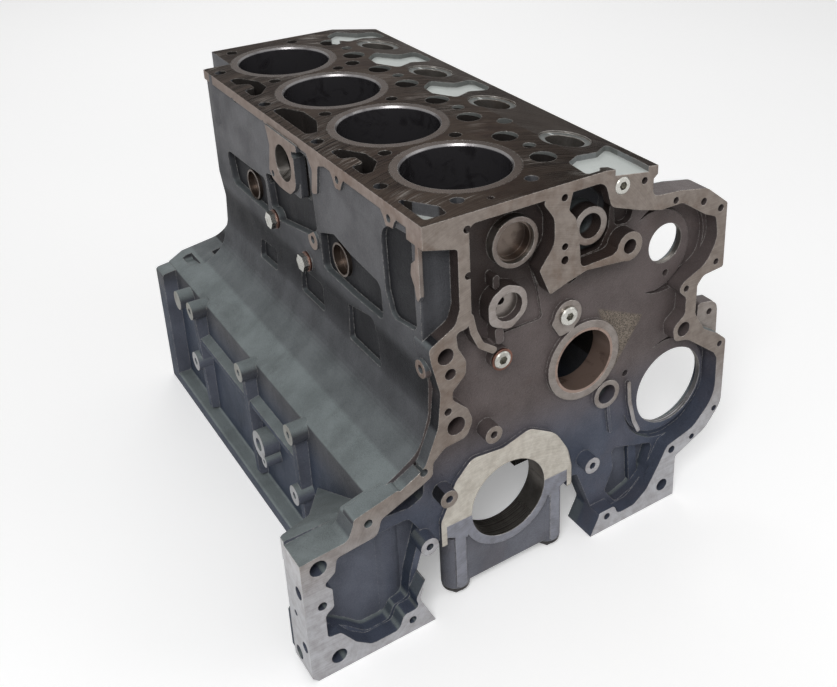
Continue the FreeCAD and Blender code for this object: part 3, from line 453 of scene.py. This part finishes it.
@dataclass(frozen=True)
class MetalFinish:
    """A turned, plated or polished metal."""

    name: str
    tone: Colour
    dark: Colour
    roughness: Band
    turning: Turning | None = None
    metallic: float = 1.0
    density: float = 2500.0
    depth: float = 0.00006
    # Share of the bright edges, partly rubbed metal and partly a painted highlight.
    wear_and_highlight: float = 0.4
    stretch: float = 0.0
    sheen: Colour = (1.0, 1.0, 1.0)
    lip: float = 0.0
    rim: Colour = paint("2f2723")
    rim_worn: Colour = paint("4e453f")
    rim_depth: float = 0.0021
    lip_edge: float = 0.0009
    # Darkening down the liner bores: painted shade.
    bore_painted_shade: Colour = paint("a3a2a8")
    edge_reach: float = 0.0006
    film_size: float = 45.0
    line_share: float = 0.35

    def build(self, groups: SharedGroups) -> bpy.types.Material:
        """Make the finish's material.

        Args:
            groups: The shared shader groups.

        Returns:
            The material.
        """
        material, g = blank_material(self.name)
        where = g.add("TexCoord").outputs["Object"]
        edge = g.group(groups.edge, {"Where": where, "Reach": self.edge_reach})
        film = g.group(groups.film, {"Where": where, "Size": self.film_size})
        speck = g.noise(where, scale=700.0, detail=3.0, rough=0.6)
        lines = speck
        if self.turning:
            lines = g.group(groups.lathe, {"Where": where, "Axis": self.turning.value,
                                           "Density": self.density}).outputs[0]
        tone = g.mix(film.outputs[0], self.tone, self.dark)
        darker = g.math("MULTIPLY", g.step(lines, 0.35, 0.7), self.line_share)
        tone = g.mix(darker, tone, self.dark)
        if self.lip:
            tone = self._rim(g, where, tone, lines)
        # Bright edges: partly rubbed metal, partly a painted highlight.
        mean = sum(self.tone) / 3
        bright = tuple(min(1.0, (c + mean) * 0.75 + 0.05) for c in self.tone)
        tone = g.mix(g.math("MULTIPLY", edge.outputs["Mask"], self.wear_and_highlight), tone, bright)
        rough = g.between(g.math("MULTIPLY_ADD", film.outputs[0], 0.6,
                                 g.math("MULTIPLY", speck, 0.4)), *self.roughness)
        height = g.math("MULTIPLY_ADD", lines, 0.7, g.math("MULTIPLY", speck, 0.3))
        bump = g.add("Bump", {"Height": height, "Distance": self.depth,
                              "Normal": edge.outputs["Normal"]})
        shader = g.add("BsdfPrincipled", {"Base Color": tone, "Roughness": rough,
                                          "Metallic": self.metallic,
                                          "Anisotropic": self.stretch,
                                          "Specular Tint": (*self.sheen, 1.0),
                                          "Normal": bump.outputs[0]})
        if self.stretch:
            tangent = g.add("Tangent", direction_type="RADIAL", axis="Z")
            g.put(shader.inputs["Tangent"], tangent.outputs[0])
        g.add("OutputMaterial", {"Surface": shader.outputs[0]})
        return material

    def _rim(self, g: Graph, where: Socket, tone: Socket, lines: Socket) -> Socket:
        """Tone with a browned rim outside a bright lip, on top of each liner, and painted shade
        down the bore below the top.

        Args:
            g: Graph of the material.
            where: Position.
            tone: Tone of the rest.
            lines: Turning lines.

        Returns:
            The colour socket.
        """
        x, y, z = g.split(g.repeated(where, FIRST_BORE_Y, BORE_PITCH))
        reach = g.vector("LENGTH", g.join(x, g.math("SUBTRACT", y, FIRST_BORE_Y), 0.0))
        top = g.over(z, DECK_Z - self.rim_depth)
        outside = g.all_of(top, g.step(reach, self.lip, self.lip + self.lip_edge))
        browned = g.mix(g.step(lines, 0.4, 0.6), self.rim, self.rim_worn)
        # Below the top, the bore is darkened: painted shade.
        tone = g.mix(top, g.tinted(tone, self.bore_painted_shade), tone)
        return g.mix(outside, tone, browned)


@dataclass(frozen=True)
class Zones:
    """Where the casting's skin changes, as limits; a pair holds the two ends of a soft edge."""

    raw_low_z: Band = (0.11, 0.02)
    deep_z: Band = (0.195, 0.24)
    deep_x: Band = (0.17, 0.13)
    facing_up: Band = (0.15, 0.8)
    deck_left_x: Band = (-0.122, -0.117)
    deck_right_x: Band = (0.0, -0.05)
    primer_low_z: Band = (0.07, 0.02)
    primer_high_z: Band = (0.2, 0.27)
    facing_left: Band = (-0.3, -0.6)
    facing_right: Band = (0.3, 0.6)
    facing_front: Band = (-0.5, -0.8)
    front_z: Band = (0.07, 0.04)
    sunk_left_x: Band = (-0.0868, -0.0846)
    sunk_right_x: Band = (-0.07, -0.078)
    not_facing_right: Band = (0.3, -0.4)
    left_wall_x: Band = (-0.076, -0.082)
    right_wall_x: Band = (0.15, 0.16)
    shoulder_z: float = 0.044
    shoulder_x: float = -0.08
    facing_over: Band = (0.1, 0.3)
    panel_z: float = 0.2
    panel_x: float = -0.055
    panel_front: float = -0.5
    gear_case_y: Band = (0.012, 0.016)
    bay_x: float = -0.0765
    bay_y: Band = (0.036, 0.5548)
    bay_back: float = 0.5
    right_side_z: float = 0.09
    right_side_x: Band = (0.135, 0.165)
    open_side_x: float = -0.05
    open_side_y: float = 0.492
    bare_x: float = -0.03
    bare_y: float = 0.03
    bare_front_y: float = -0.0118
    bare_depth: Band = (0.0064, 0.0124)
    bare_share: Band = (0.3, 0.9)
    sandy: tuple[Band, ...] = ((0.112, 0.178), (0.172, 0.150), (0.134, 0.098))
    sandy_edge: Band = (-0.0015, 0.002)


@dataclass(frozen=True)
class CastIronFinish:
    """Raw and primed cast iron with machined planes and bores."""

    name: str
    raw: Colour = paint("605756")
    raw_low: Colour = paint("515766")
    primer: Colour = paint("505155")
    primer_high: Colour = paint("68686b")
    inside_raw_and_shade: Colour = paint("2c2826")
    # Inner surfaces: raw iron, darkened with painted shade.
    primer_low: Colour = paint("3f4756")
    # Lighter primer for low faces turned to the front: a painted glare.
    primer_front_glare: Colour = paint("686c78")
    # Lighter primer for upward faces: painted light from above.
    primer_painted_light: Colour = paint("7f8788")
    shadowed: Colour = paint("1f2024")
    bare: Colour = paint("bcc2bf")
    # Darker raw iron in the upper gear-case pockets: painted shade.
    raw_pocket_shade: Colour = paint("3a3230")
    sand_light: Colour = paint("968a7d")
    sand_dark: Colour = paint("3a322d")
    bored: Colour = paint("8d8984")
    low_metal: Colour = paint("c2c4ca")
    rust: Colour = paint("5b4334")
    bright: Colour = paint("d6d3ce")
    sheen: Colour = (0.42, 0.41, 0.4)
    skin_shade: Colour = paint("5c5c5c")
    dull_shade: Colour = paint("b4b2b2")
    line_shade: Colour = paint("5e5a58")
    mottle_shade: Colour = paint("9a8c84")
    bloom_shade: Colour = paint("c9b3a4")
    raw_rough: Band = (0.42, 0.6)
    primed_rough: Band = (0.56, 0.72)
    cut_rough: Band = (0.3, 0.52)
    skin_metallic: float = 0.15
    cut_metallic: float = 0.85
    silver_metallic: float = 0.45
    skin_share: float = 0.35
    rust_share: float = 0.1
    dull_share: float = 0.35
    silver_share: float = 0.75
    # Share of the bright scratches, partly painted glints.
    scratch_glint_share: float = 0.6
    mottle_share: float = 0.35
    bloom_share: float = 0.5
    bloom_z: Band = (0.0, 0.15)
    silver_z: Band = (0.09, -0.03)
    silver_x: Band = (0.084, 0.09)
    edge_reach: float = 0.0016
    # Share of the bright edges, partly rubbed metal and partly a painted highlight.
    edge_wear_and_highlight: float = 0.45
    film_size: float = 11.0
    mill_radius: float = 0.19
    mill_density: float = 1000.0
    side_strength: float = 0.14
    deck_strength: Band = (0.45, 1.0)
    cast_depth: float = 0.0009
    cut_depth: float = 0.00007
    zones: Zones = Zones()
    flats: tuple[Flat, ...] = ()
    bores: tuple[BoredHole, ...] = ()

    def _zone(self, g: Graph, where: Socket, facing: Socket) -> tuple[Socket, Socket]:
        """Tone of the unmachined skin, from where on the casting it lies, with painted light on
        faces turned up or low to the front, and painted shade in recesses, pockets and inner
        surfaces.

        Args:
            g: Graph of the material.
            where: Position.
            facing: Surface normal.

        Returns:
            The colour socket, and the mask of the primed surfaces.
        """
        zones = self.zones
        x, y, z = g.split(where)
        nx, ny, nz = g.split(facing)
        raw = g.mix(g.step(z, *zones.raw_low_z), self.raw, self.raw_low)
        # Upper gear-case pockets: raw iron darkened with painted shade.
        deep = g.all_of(g.step(z, *zones.deep_z), g.step(x, *zones.deep_x))
        raw = g.mix(deep, raw, self.raw_pocket_shade)
        grit = g.step(g.noise(where, scale=900.0, detail=3.0, rough=0.7), 0.35, 0.65)
        raw = g.mix(self._corner(g, x, z), raw, g.mix(grit, self.sand_dark, self.sand_light))

        inner = g.all_of(g.step(x, *zones.deck_left_x), g.step(x, *zones.deck_right_x))
        # Upward-facing primer is lighter: painted light from above, half blended back to plain
        # primer between deck_left_x and deck_right_x.
        light = g.mix(g.math("MULTIPLY", inner, 0.5), self.primer_painted_light, self.primer)
        side = g.mix(g.step(z, *zones.primer_low_z), self.primer, self.primer_low)
        high = g.all_of(g.step(z, *zones.primer_high_z), g.step(nx, *zones.facing_left))
        side = g.mix(high, side, self.primer_high)
        # Low faces turned to the front take a lighter primer: a painted glare.
        front = g.all_of(g.step(ny, *zones.facing_front), g.step(z, *zones.front_z))
        side = g.mix(front, side, self.primer_front_glare)
        primer = g.mix(g.step(nz, *zones.facing_up), side, light)
        # Left-wall recess floors darkened with painted shade.
        sunk = g.all_of(g.step(x, *zones.sunk_left_x), g.step(x, *zones.sunk_right_x),
                        g.step(nx, *zones.not_facing_right))
        primer = g.mix(sunk, primer, self.shadowed)

        left = g.all_of(g.step(x, *zones.left_wall_x), g.step(nx, *zones.facing_left))
        right = g.all_of(g.step(x, *zones.right_wall_x), g.step(nx, *zones.facing_right))
        shoulder = g.all_of(g.over(z, zones.shoulder_z), g.step(nz, *zones.facing_over),
                            g.under(x, zones.shoulder_x))
        panel = g.all_of(g.under(x, zones.panel_x), g.over(z, zones.panel_z),
                         g.under(ny, zones.panel_front))
        primed = g.step(y, *zones.gear_case_y)
        for mask in (left, right, shoulder, panel):
            primed = g.math("MAXIMUM", primed, mask)
        # Inner surfaces: raw iron, darkened with painted shade.
        tone = g.mix(primed, raw, g.mix(self._inside(g, x, y, z, ny), primer, self.inside_raw_and_shade))

        across_deck = g.math("MULTIPLY_ADD", x, TILT_AXIS[0],
                             g.math("MULTIPLY", z, TILT_AXIS[2]))
        below = g.math("SUBTRACT", TILT_LEVEL, across_deck)
        corner = g.all_of(g.under(x, zones.bare_x), g.under(y, zones.bare_y))
        bare = g.all_of(g.under(below, g.between(corner, *zones.bare_depth)),
                        g.over(y, zones.bare_front_y))
        share = g.math("MULTIPLY", bare, g.between(corner, *zones.bare_share))
        return g.mix(share, tone, self.bare), primed

    def _inside(self, g: Graph, x: Socket, y: Socket, z: Socket, ny: Socket) -> Socket:
        """Mask of the casting's inner surfaces, the bays and the jackets, which take painted
        shade.

        Args:
            g: Graph of the material.
            x: Place across the block.
            y: Place along the block.
            z: Height.
            ny: The surface normal's part along the block.

        Returns:
            The mask socket.
        """
        zones = self.zones
        wall = g.between(g.over(z, zones.right_side_z), *zones.right_side_x)
        open_side = g.all_of(g.over(y, zones.open_side_y), g.under(x, zones.open_side_x))
        return g.all_of(g.over(x, zones.bay_x), g.under(x, wall), g.over(y, zones.bay_y[0]),
                        g.math("SUBTRACT", 1.0, open_side), g.under(y, zones.bay_y[1]),
                        g.under(ny, zones.bay_back))

    def _corner(self, g: Graph, x: Socket, z: Socket) -> Socket:
        """Mask of the sandy three-cornered patch beside the camshaft tunnel.

        Args:
            g: Graph of the material.
            x: Place across the block.
            z: Height.

        Returns:
            The mask socket.
        """
        mask: Socket | float = 1.0
        patch = self.zones.sandy
        middle = [sum(corner[part] for corner in patch) / len(patch) for part in (0, 1)]
        for i, (ax, az) in enumerate(patch):
            bx, bz = patch[(i + 1) % len(patch)]
            nx, nz = az - bz, bx - ax
            size = math.hypot(nx, nz)
            sign = 1 if (middle[0] - ax) * nx + (middle[1] - az) * nz > 0 else -1
            nx, nz = nx / size * sign, nz / size * sign
            side = g.math("SUBTRACT", g.math("MULTIPLY_ADD", x, nx, g.math("MULTIPLY", z, nz)),
                          ax * nx + az * nz)
            mask = g.math("MULTIPLY", mask, g.step(side, *self.zones.sandy_edge))
        return mask

    def build(self, groups: SharedGroups) -> bpy.types.Material:
        """Make the finish's material.

        Args:
            groups: The shared shader groups.

        Returns:
            The material.
        """
        material, g = blank_material(self.name)
        where = g.add("TexCoord").outputs["Object"]
        facing = g.add("NewGeometry").outputs["True Normal"]
        skin = g.group(groups.skin, {"Where": where})
        edge = g.group(groups.edge, {"Where": where, "Reach": self.edge_reach})
        film = g.group(groups.film, {"Where": where, "Size": self.film_size}).outputs[0]

        tone, primed = self._zone(g, where, facing)
        tone = g.mix(g.math("MULTIPLY", skin.outputs["Tone"], self.skin_share), tone,
                     g.tinted(tone, self.skin_shade))
        rusty = g.math("MULTIPLY", film, g.between(primed, self.rust_share, 0.0))
        tone = g.mix(rusty, tone, self.rust)
        dull = g.math("MULTIPLY", g.all_of(film, primed), self.dull_share)
        tone = g.mix(dull, tone, g.tinted(tone, self.dull_shade))

        tone, metal, machined = self._planes(g, groups, where, facing, tone)
        bored = self._bored_walls(g, groups, where, facing)
        bored = g.math("MULTIPLY", bored, g.math("SUBTRACT", 1.0, machined))
        metal = g.mix(bored, metal, self.bored)
        cut, lines, silver = self._face_milled(g, groups, where, facing, metal)
        height = g.split(where)[2]
        bloom = g.math("MULTIPLY", g.step(height, *self.bloom_z), self.bloom_share)
        bloom = g.math("MULTIPLY", film, bloom)
        cut = g.mix(bloom, cut, g.tinted(cut, self.bloom_shade))
        anywhere = g.math("MAXIMUM", machined, bored)
        tone = g.mix(anywhere, tone, cut)
        # Bright edges: partly rubbed metal, partly a painted highlight.
        tone = g.mix(g.math("MULTIPLY", edge.outputs["Mask"], self.edge_wear_and_highlight), tone, self.bright)

        smooth, coarse = [g.between(primed, raw, coated)
                          for raw, coated in zip(self.raw_rough, self.primed_rough)]
        rough = g.between(anywhere, g.between(skin.outputs["Tone"], smooth, coarse),
                          g.between(lines, *self.cut_rough))
        metallic = g.between(anywhere, self.skin_metallic,
                             g.between(silver, self.cut_metallic, self.silver_metallic))
        relief = g.between(anywhere, g.math("MULTIPLY", skin.outputs["Height"], self.cast_depth),
                           g.math("MULTIPLY", lines, self.cut_depth))
        bump = g.add("Bump", {"Height": relief, "Distance": 1.0,
                              "Normal": edge.outputs["Normal"]})
        shader = g.add("BsdfPrincipled", {"Base Color": tone, "Roughness": rough,
                                          "Metallic": metallic, "Normal": bump.outputs[0],
                                          "Specular Tint": (*self.sheen, 1.0)})
        g.add("OutputMaterial", {"Surface": shader.outputs[0]})
        return material

    def _planes(self, g: Graph, groups: SharedGroups, where: Socket, facing: Socket,
                tone: Socket) -> tuple[Socket, Socket, Socket | float]:
        """Tones of the casting's planes, and where they are machined.

        Args:
            g: Graph of the material.
            groups: The shared shader groups.
            where: Position.
            facing: Surface normal.
            tone: Tone of the unmachined skin.

        Returns:
            The skin's colour with its bare cast planes, the metal's colour, and the mask of
            the machined planes.
        """
        x, _, z = g.split(where)
        machined: Socket | float = 0.0
        metal = tone
        for flat in self.flats:
            mask = g.group(groups.plane, {"Where": where, "Facing": facing, "Axis": flat.axis,
                                          "Level": flat.level, "Slack": flat.slack}).outputs[0]
            if flat.ceiling < EVERYWHERE:
                mask = g.all_of(mask, g.under(z, flat.ceiling))
            if flat.reach < EVERYWHERE:
                mask = g.all_of(mask, g.under(g.math("ABSOLUTE", x), flat.reach))
            if flat.cast:
                tone = g.mix(mask, tone, flat.tone)
                continue
            metal = g.mix(mask, metal, flat.tone)
            machined = g.math("MAXIMUM", machined, mask)
        return tone, metal, machined

    def _bored_walls(self, g: Graph, groups: SharedGroups, where: Socket,
                     facing: Socket) -> Socket | float:
        """Mask of the bored walls.

        Args:
            g: Graph of the material.
            groups: The shared shader groups.
            where: Position.
            facing: Surface normal.

        Returns:
            The mask.
        """
        bored: Socket | float = 0.0
        for hole in self.bores:
            place = where
            if hole.pitch:
                place = g.repeated(where, hole.centre[1], hole.pitch)
            mask = g.group(groups.bore, {"Where": place, "Facing": facing,
                                         "Centre": hole.centre, "Axis": hole.axis,
                                         "Radius": hole.radius}).outputs[0]
            bored = g.math("MAXIMUM", bored, mask)
        return bored

    def _face_milled(self, g: Graph, groups: SharedGroups, where: Socket, facing: Socket,
                     metal: Socket) -> tuple[Socket, Socket, Socket]:
        """Metal with the arcs, bright scratches that are partly painted glints, and mottle of a
        milled face.

        Args:
            g: Graph of the material.
            groups: The shared shader groups.
            where: Position.
            facing: Surface normal.
            metal: Colour of the metal.

        Returns:
            The colour socket, the arcs, and the mask of the silvery lower side.
        """
        x, y, z = g.split(where)
        nx, _, nz = g.split(facing)
        level = g.step(g.math("ABSOLUTE", nz), 0.7, 0.8)
        flat_place = g.add("Mix", {0: level, 4: g.join(x, z, 0.0), 5: g.join(x, y, 0.0)},
                           data_type="VECTOR").outputs[1]
        sideways = g.step(g.math("ABSOLUTE", nx), 0.7, 0.8)
        flat_place = g.add("Mix", {0: sideways, 4: flat_place, 5: g.join(z, y, 0.0)},
                           data_type="VECTOR").outputs[1]
        mill = g.group(groups.mill, {"Flat": flat_place, "Sweep": self.mill_radius,
                                     "Density": self.mill_density})
        patchy = g.step(g.noise(where, scale=8.0, detail=2.0), 0.4, 0.6)
        strength = g.between(level, self.side_strength, g.between(patchy, *self.deck_strength))
        silver = g.all_of(g.step(z, *self.silver_z),
                          g.step(g.math("ABSOLUTE", x), *self.silver_x))
        metal = g.mix(g.math("MULTIPLY", silver, self.silver_share), metal, self.low_metal)
        lines = g.math("MULTIPLY", mill.outputs["Lines"], strength)
        cut = g.mix(lines, metal, g.tinted(metal, self.line_shade))
        # Bright scratches, partly painted glints of the mill lines.
        scratch_glints = g.math("MULTIPLY", mill.outputs["ScratchGlints"], strength)
        cut = g.mix(g.math("MULTIPLY", scratch_glints, self.scratch_glint_share), cut, self.bright)
        mottle = g.step(g.noise(where, scale=75.0, detail=5.0, rough=0.7), 0.35, 0.68)
        cut = g.mix(g.math("MULTIPLY", mottle, self.mottle_share), cut,
                    g.tinted(cut, self.mottle_shade))
        return cut, lines, silver


@dataclass
class Casting:
    """The one-piece casting and the finish of its planes and bores."""

    nodes: tuple[str, ...] = ("cylinder_block",)

    def flats(self) -> tuple[Flat, ...]:
        """The planes of the casting, from the deck down, each with its tone.

        Returns:
            The planes.
        """
        up, down, front, back = (0, 0, 1), (0, 0, -1), (0, -1, 0), (0, 1, 0)
        left, right = (-1, 0, 0), (1, 0, 0)
        deck, gear, ring, lug = paint("3a322d"), paint("8a817a"), paint("918a85"), paint("9c9591")
        pale, bare, boss = paint("c9c4ba"), paint("c6cbc8"), paint("b3b4ae")
        side, foot, step = paint("a3968f"), paint("fafafc"), paint("7b736e")
        # The deck, its sloping part, and the pale floors of its shallow areas.
        return (Flat(up, DECK_Z, deck),
                Flat(TILT_AXIS, TILT_LEVEL, deck),
                Flat(TILT_AXIS, TILT_LEVEL - 0.0059, bare, slack=0.0006, cast=True),
                Flat(up, DECK_Z - 0.012, bare, cast=True),
                Flat(up, DECK_Z - 0.006, bare, cast=True),
                # The gear face and the raised faces behind it.
                Flat(front, 0.012, gear),
                Flat(front, 0.0, ring),
                Flat(front, 0.0, pale, ceiling=0.074, reach=0.086),
                Flat(front, 0.001, ring),
                Flat(front, 0.004, step),
                Flat(front, 0.009, lug),
                # The left wall's edge and pads, the foot, and the screw bosses lower down.
                Flat(left, 0.091, side),
                Flat(left, 0.093, side),
                Flat(left, 0.228, foot),
                Flat(left, 0.168, boss),
                # The pan rail and the far end.
                Flat(down, 0.095, gear),
                Flat(back, 0.555, gear),
                # The right side's screw bosses and its pad.
                Flat(right, 0.168, ring),
                Flat(right, 0.1695, ring))

    def bores(self) -> tuple[BoredHole, ...]:
        """The bored walls that show.

        Returns:
            The holes.
        """
        along, up, across = (0.0, 1.0, 0.0), (0.0, 0.0, 1.0), (1.0, 0.0, 0.0)
        pump, ringed_boss = (CAM_X, FIRST_BORE_Y, CAM_Z), (0.0085, 0, 0.287)
        lower_window, upper_window = (0.215, 0, 0.045), (0.198, 0, 0.225)
        port = (0, 0.2705, 0.294)
        return (BoredHole((0, 0, 0), along, MAIN_BEARING_RADIUS),
                BoredHole((CAM_X, 0, CAM_Z), along, 0.0365),
                BoredHole(pump, TILT_AXIS, 0.020, BORE_PITCH),
                BoredHole(pump, TILT_AXIS, 0.0265, BORE_PITCH),
                BoredHole((0, FIRST_BORE_Y, 0), up, 0.06205, BORE_PITCH),
                BoredHole(ringed_boss, along, 0.0205),
                BoredHole(ringed_boss, along, 0.025),
                BoredHole(lower_window, along, 0.046),
                BoredHole(upper_window, along, 0.022),
                BoredHole(port, across, 0.020))

    def dress(self, groups: SharedGroups) -> None:
        """Give the casting its finish."""
        finish = CastIronFinish("cast_iron", flats=self.flats(), bores=self.bores())
        dress_nodes(self.nodes, finish.build(groups))


@dataclass
class Liners:
    """The four wet liners."""

    finish: MetalFinish = MetalFinish(
        "honed_liner", paint("8a8888"), paint("686566"), (0.2, 0.32), Turning.ALONG_Z,
        metallic=0.65, density=2600.0, depth=0.00003, wear_and_highlight=0.08, stretch=0.75,
        sheen=(0.34, 0.33, 0.32), lip=0.0538)

    def dress(self, groups: SharedGroups) -> None:
        """Give the liners their honed metal."""
        names = [f"cylinder_liner_{i + 1}" for i in range(BORE_COUNT)]
        dress_nodes(names, self.finish.build(groups))


@dataclass
class BearingCaps:
    """Main bearing caps."""

    finish: CastIronFinish = CastIronFinish(
        "cap_iron", raw=paint("6a6c74"), raw_low=paint("6c6e77"), primer=paint("6a6c74"),
        primer_low=paint("6a6c74"), inside_raw_and_shade=paint("5e6068"), primer_front_glare=paint("6a6c74"),
        primer_painted_light=paint("72747d"),
        flats=(Flat((0, -1, 0), 0.0, paint("8d8f98"), slack=0.0012),
               Flat((0, 0, -1), 0.086, paint("9a9a9c"))),
        bores=(BoredHole((0, 0, 0), (0.0, 1.0, 0.0), MAIN_BEARING_RADIUS),))

    def dress(self, groups: SharedGroups) -> None:
        """Give the caps their finish."""
        names = [f"main_bearing_cap_{i + 1}" for i in range(BEARING_COUNT)]
        dress_nodes(names, self.finish.build(groups))


@dataclass
class Hardware:
    """Bushes, plugs, screws and seals."""

    bush: MetalFinish = MetalFinish(
        "bush_bronze", paint("998479"), paint("6f5d54"), (0.26, 0.42), Turning.ALONG_Y,
        metallic=0.6)
    zinc: MetalFinish = MetalFinish(
        "zinc_plated_steel", paint("c4c3bd"), paint("96948d"), (0.24, 0.4))
    pressed: MetalFinish = MetalFinish(
        "pressed_steel", paint("6a6059"), paint("564c46"), (0.3, 0.5), Turning.ALONG_Y)
    copper: MetalFinish = MetalFinish(
        "copper_ring", paint("7d5a4e"), paint("573f38"), (0.32, 0.48))
    dark: MetalFinish = MetalFinish(
        "oiled_bolt_steel", paint("494747"), paint("2c2a2a"), (0.34, 0.5))

    def dress(self, groups: SharedGroups) -> None:
        """Give each kind of fitting its metal.

        Args:
            groups: The shared shader groups.
        """
        bushes = [f"camshaft_bush_{i + 1}" for i in range(BEARING_COUNT)]
        dress_nodes(bushes, self.bush.build(groups))
        dress_nodes(("gallery_plug_upper", "gallery_plug_centre", "gallery_plug_left",
                     "side_screws"), self.zinc.build(groups))
        dress_nodes(("core_plug_side_near", "core_plug_side_far", "core_plug_gear_case",
                     "camshaft_end_plug"), self.pressed.build(groups))
        dress_nodes(("gallery_plug_seal", "side_screw_washers"), self.copper.build(groups))
        dress_nodes(("main_cap_bolts",), self.dark.build(groups))


def dress_nodes(names: list[str] | tuple[str, ...], material: bpy.types.Material) -> None:
    """Put one material on carried-over nodes.

    Args:
        names: Names of the nodes.
        material: Their material.
    """
    for name in names:
        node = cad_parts[name]
        if not node.material_slots:
            node.data.materials.append(material)
        for slot in node.material_slots:
            slot.material = material
        log.info("%s: %s", name, material.name)


@dataclass(frozen=True)
class Lamp:
    """One soft area lamp."""

    name: str
    place: Triple
    aim: Triple
    size: float
    watts: float

    def hang(self) -> None:
        """Add the lamp to the scene."""
        data = bpy.data.lights.new(self.name, "AREA")
        data.shape, data.size, data.energy = "DISK", self.size, self.watts
        obj = bpy.data.objects.new(self.name, data)
        bpy.context.scene.collection.objects.link(obj)
        obj.location = self.place
        away = Vector(self.place) - Vector(self.aim)
        obj.rotation_euler = away.to_track_quat("Z", "Y").to_euler()


@dataclass
class Studio:
    """Floor, world, lamps and camera."""

    floor_z: float = -0.0952
    floor_half: float = 8.0
    floor_roughness: float = 0.9
    floor_lift: float = 0.3
    world_level: float = 0.36
    camera_place: Triple = (-0.4697, -0.6970, 0.7285)
    azimuth: float = -34.989
    elevation: float = 24.715
    roll: float = -0.4
    sensor: float = 36.0
    lens: float = 45.79
    clip: Band = (0.01, 50.0)
    shift: Band = (-0.1233, -0.1861)
    lamps: tuple[Lamp, ...] = (
        Lamp("key_lamp", (-1.4, -1.5, 2.3), (0.0, 0.25, 0.1), 1.3, 44.0),
        Lamp("fill_lamp", (1.9, -1.6, 1.1), (0.0, 0.2, 0.1), 1.8, 10.0),
        Lamp("back_lamp", (0.8, 2.4, 1.8), (0.0, 0.3, 0.1), 1.6, 10.0))

    @staticmethod
    def _seen(g: Graph) -> Socket:
        """One where the camera sees a surface, itself or in a reflection.

        Args:
            g: Graph of the material or the world.

        Returns:
            The mask socket.
        """
        rays = g.add("LightPath")
        direct = g.math("MAXIMUM", rays.outputs["Is Camera Ray"], rays.outputs["Is Glossy Ray"])
        return g.math("MAXIMUM", direct, rays.outputs["Is Transmission Ray"])

    def light_world(self) -> None:
        """A plain pale surrounding that the camera sees as white."""
        world = bpy.data.worlds.new("studio_world")
        bpy.context.scene.world = world
        world.use_nodes = True
        world.node_tree.nodes.clear()
        g = Graph(world.node_tree)
        strength = g.between(self._seen(g), self.world_level, 1.0)
        back = g.add("Background", {"Color": (1.0, 1.0, 1.0), "Strength": strength})
        g.put(g.add("OutputWorld").inputs["Surface"], back.outputs[0])

    def lay_floor(self) -> None:
        """A plain pale floor under the block."""
        mesh = bpy.data.meshes.new("studio_floor")
        h = self.floor_half
        mesh.from_pydata([(-h, -h, 0), (h, -h, 0), (h, h, 0), (-h, h, 0)], [], [(0, 1, 2, 3)])
        floor = bpy.data.objects.new("studio_floor", mesh)
        bpy.context.scene.collection.objects.link(floor)
        floor.location.z = self.floor_z
        material = bpy.data.materials.new("studio_floor")
        material.use_nodes = True
        g = Graph(material.node_tree)
        shader = material.node_tree.nodes["Principled BSDF"]
        shade = g.noise(g.add("TexCoord").outputs["Object"], scale=1.5, detail=2.0)
        g.put(shader.inputs["Base Color"], g.mix(shade, paint("f2f2f2"), paint("f6f6f6")))
        g.put(shader.inputs["Roughness"], self.floor_roughness)
        g.put(shader.inputs["Emission Color"], (1.0, 1.0, 1.0))
        lift = g.math("MULTIPLY", self._seen(g), self.floor_lift)
        g.put(shader.inputs["Emission Strength"], lift)
        mesh.materials.append(material)

    def set_camera(self) -> None:
        """The camera at the photograph's viewing angle."""
        a, e = math.radians(self.azimuth), math.radians(self.elevation)
        back = Vector((math.sin(a) * math.cos(e), -math.cos(a) * math.cos(e), math.sin(e)))
        right = Vector((math.cos(a), math.sin(a), 0.0))
        turn = Matrix((right, back.cross(right), back)).transposed()
        turn = turn @ Matrix.Rotation(math.radians(self.roll), 3, "Z")
        data = bpy.data.cameras.new("photo_camera")
        data.sensor_width, data.lens = self.sensor, self.lens
        data.shift_x, data.shift_y = self.shift
        data.clip_start, data.clip_end = self.clip
        camera = bpy.data.objects.new("photo_camera", data)
        bpy.context.scene.collection.objects.link(camera)
        camera.matrix_world = Matrix.Translation(self.camera_place) @ turn.to_4x4()
        bpy.context.scene.camera = camera

    def build(self) -> None:
        """Set the whole stage."""
        bpy.context.scene.view_settings.view_transform = "Standard"
        self.light_world()
        self.lay_floor()
        for lamp in self.lamps:
            lamp.hang()
        self.set_camera()


def main() -> None:
    """Build the stage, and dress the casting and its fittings."""
    logging.basicConfig(level=logging.INFO, format="%(name)s %(message)s")
    Studio().build()
    groups = SharedGroups()
    for assembly in (Casting(), Liners(), BearingCaps(), Hardware()):
        assembly.dress(groups)


if __name__ == "__main__":
    main()
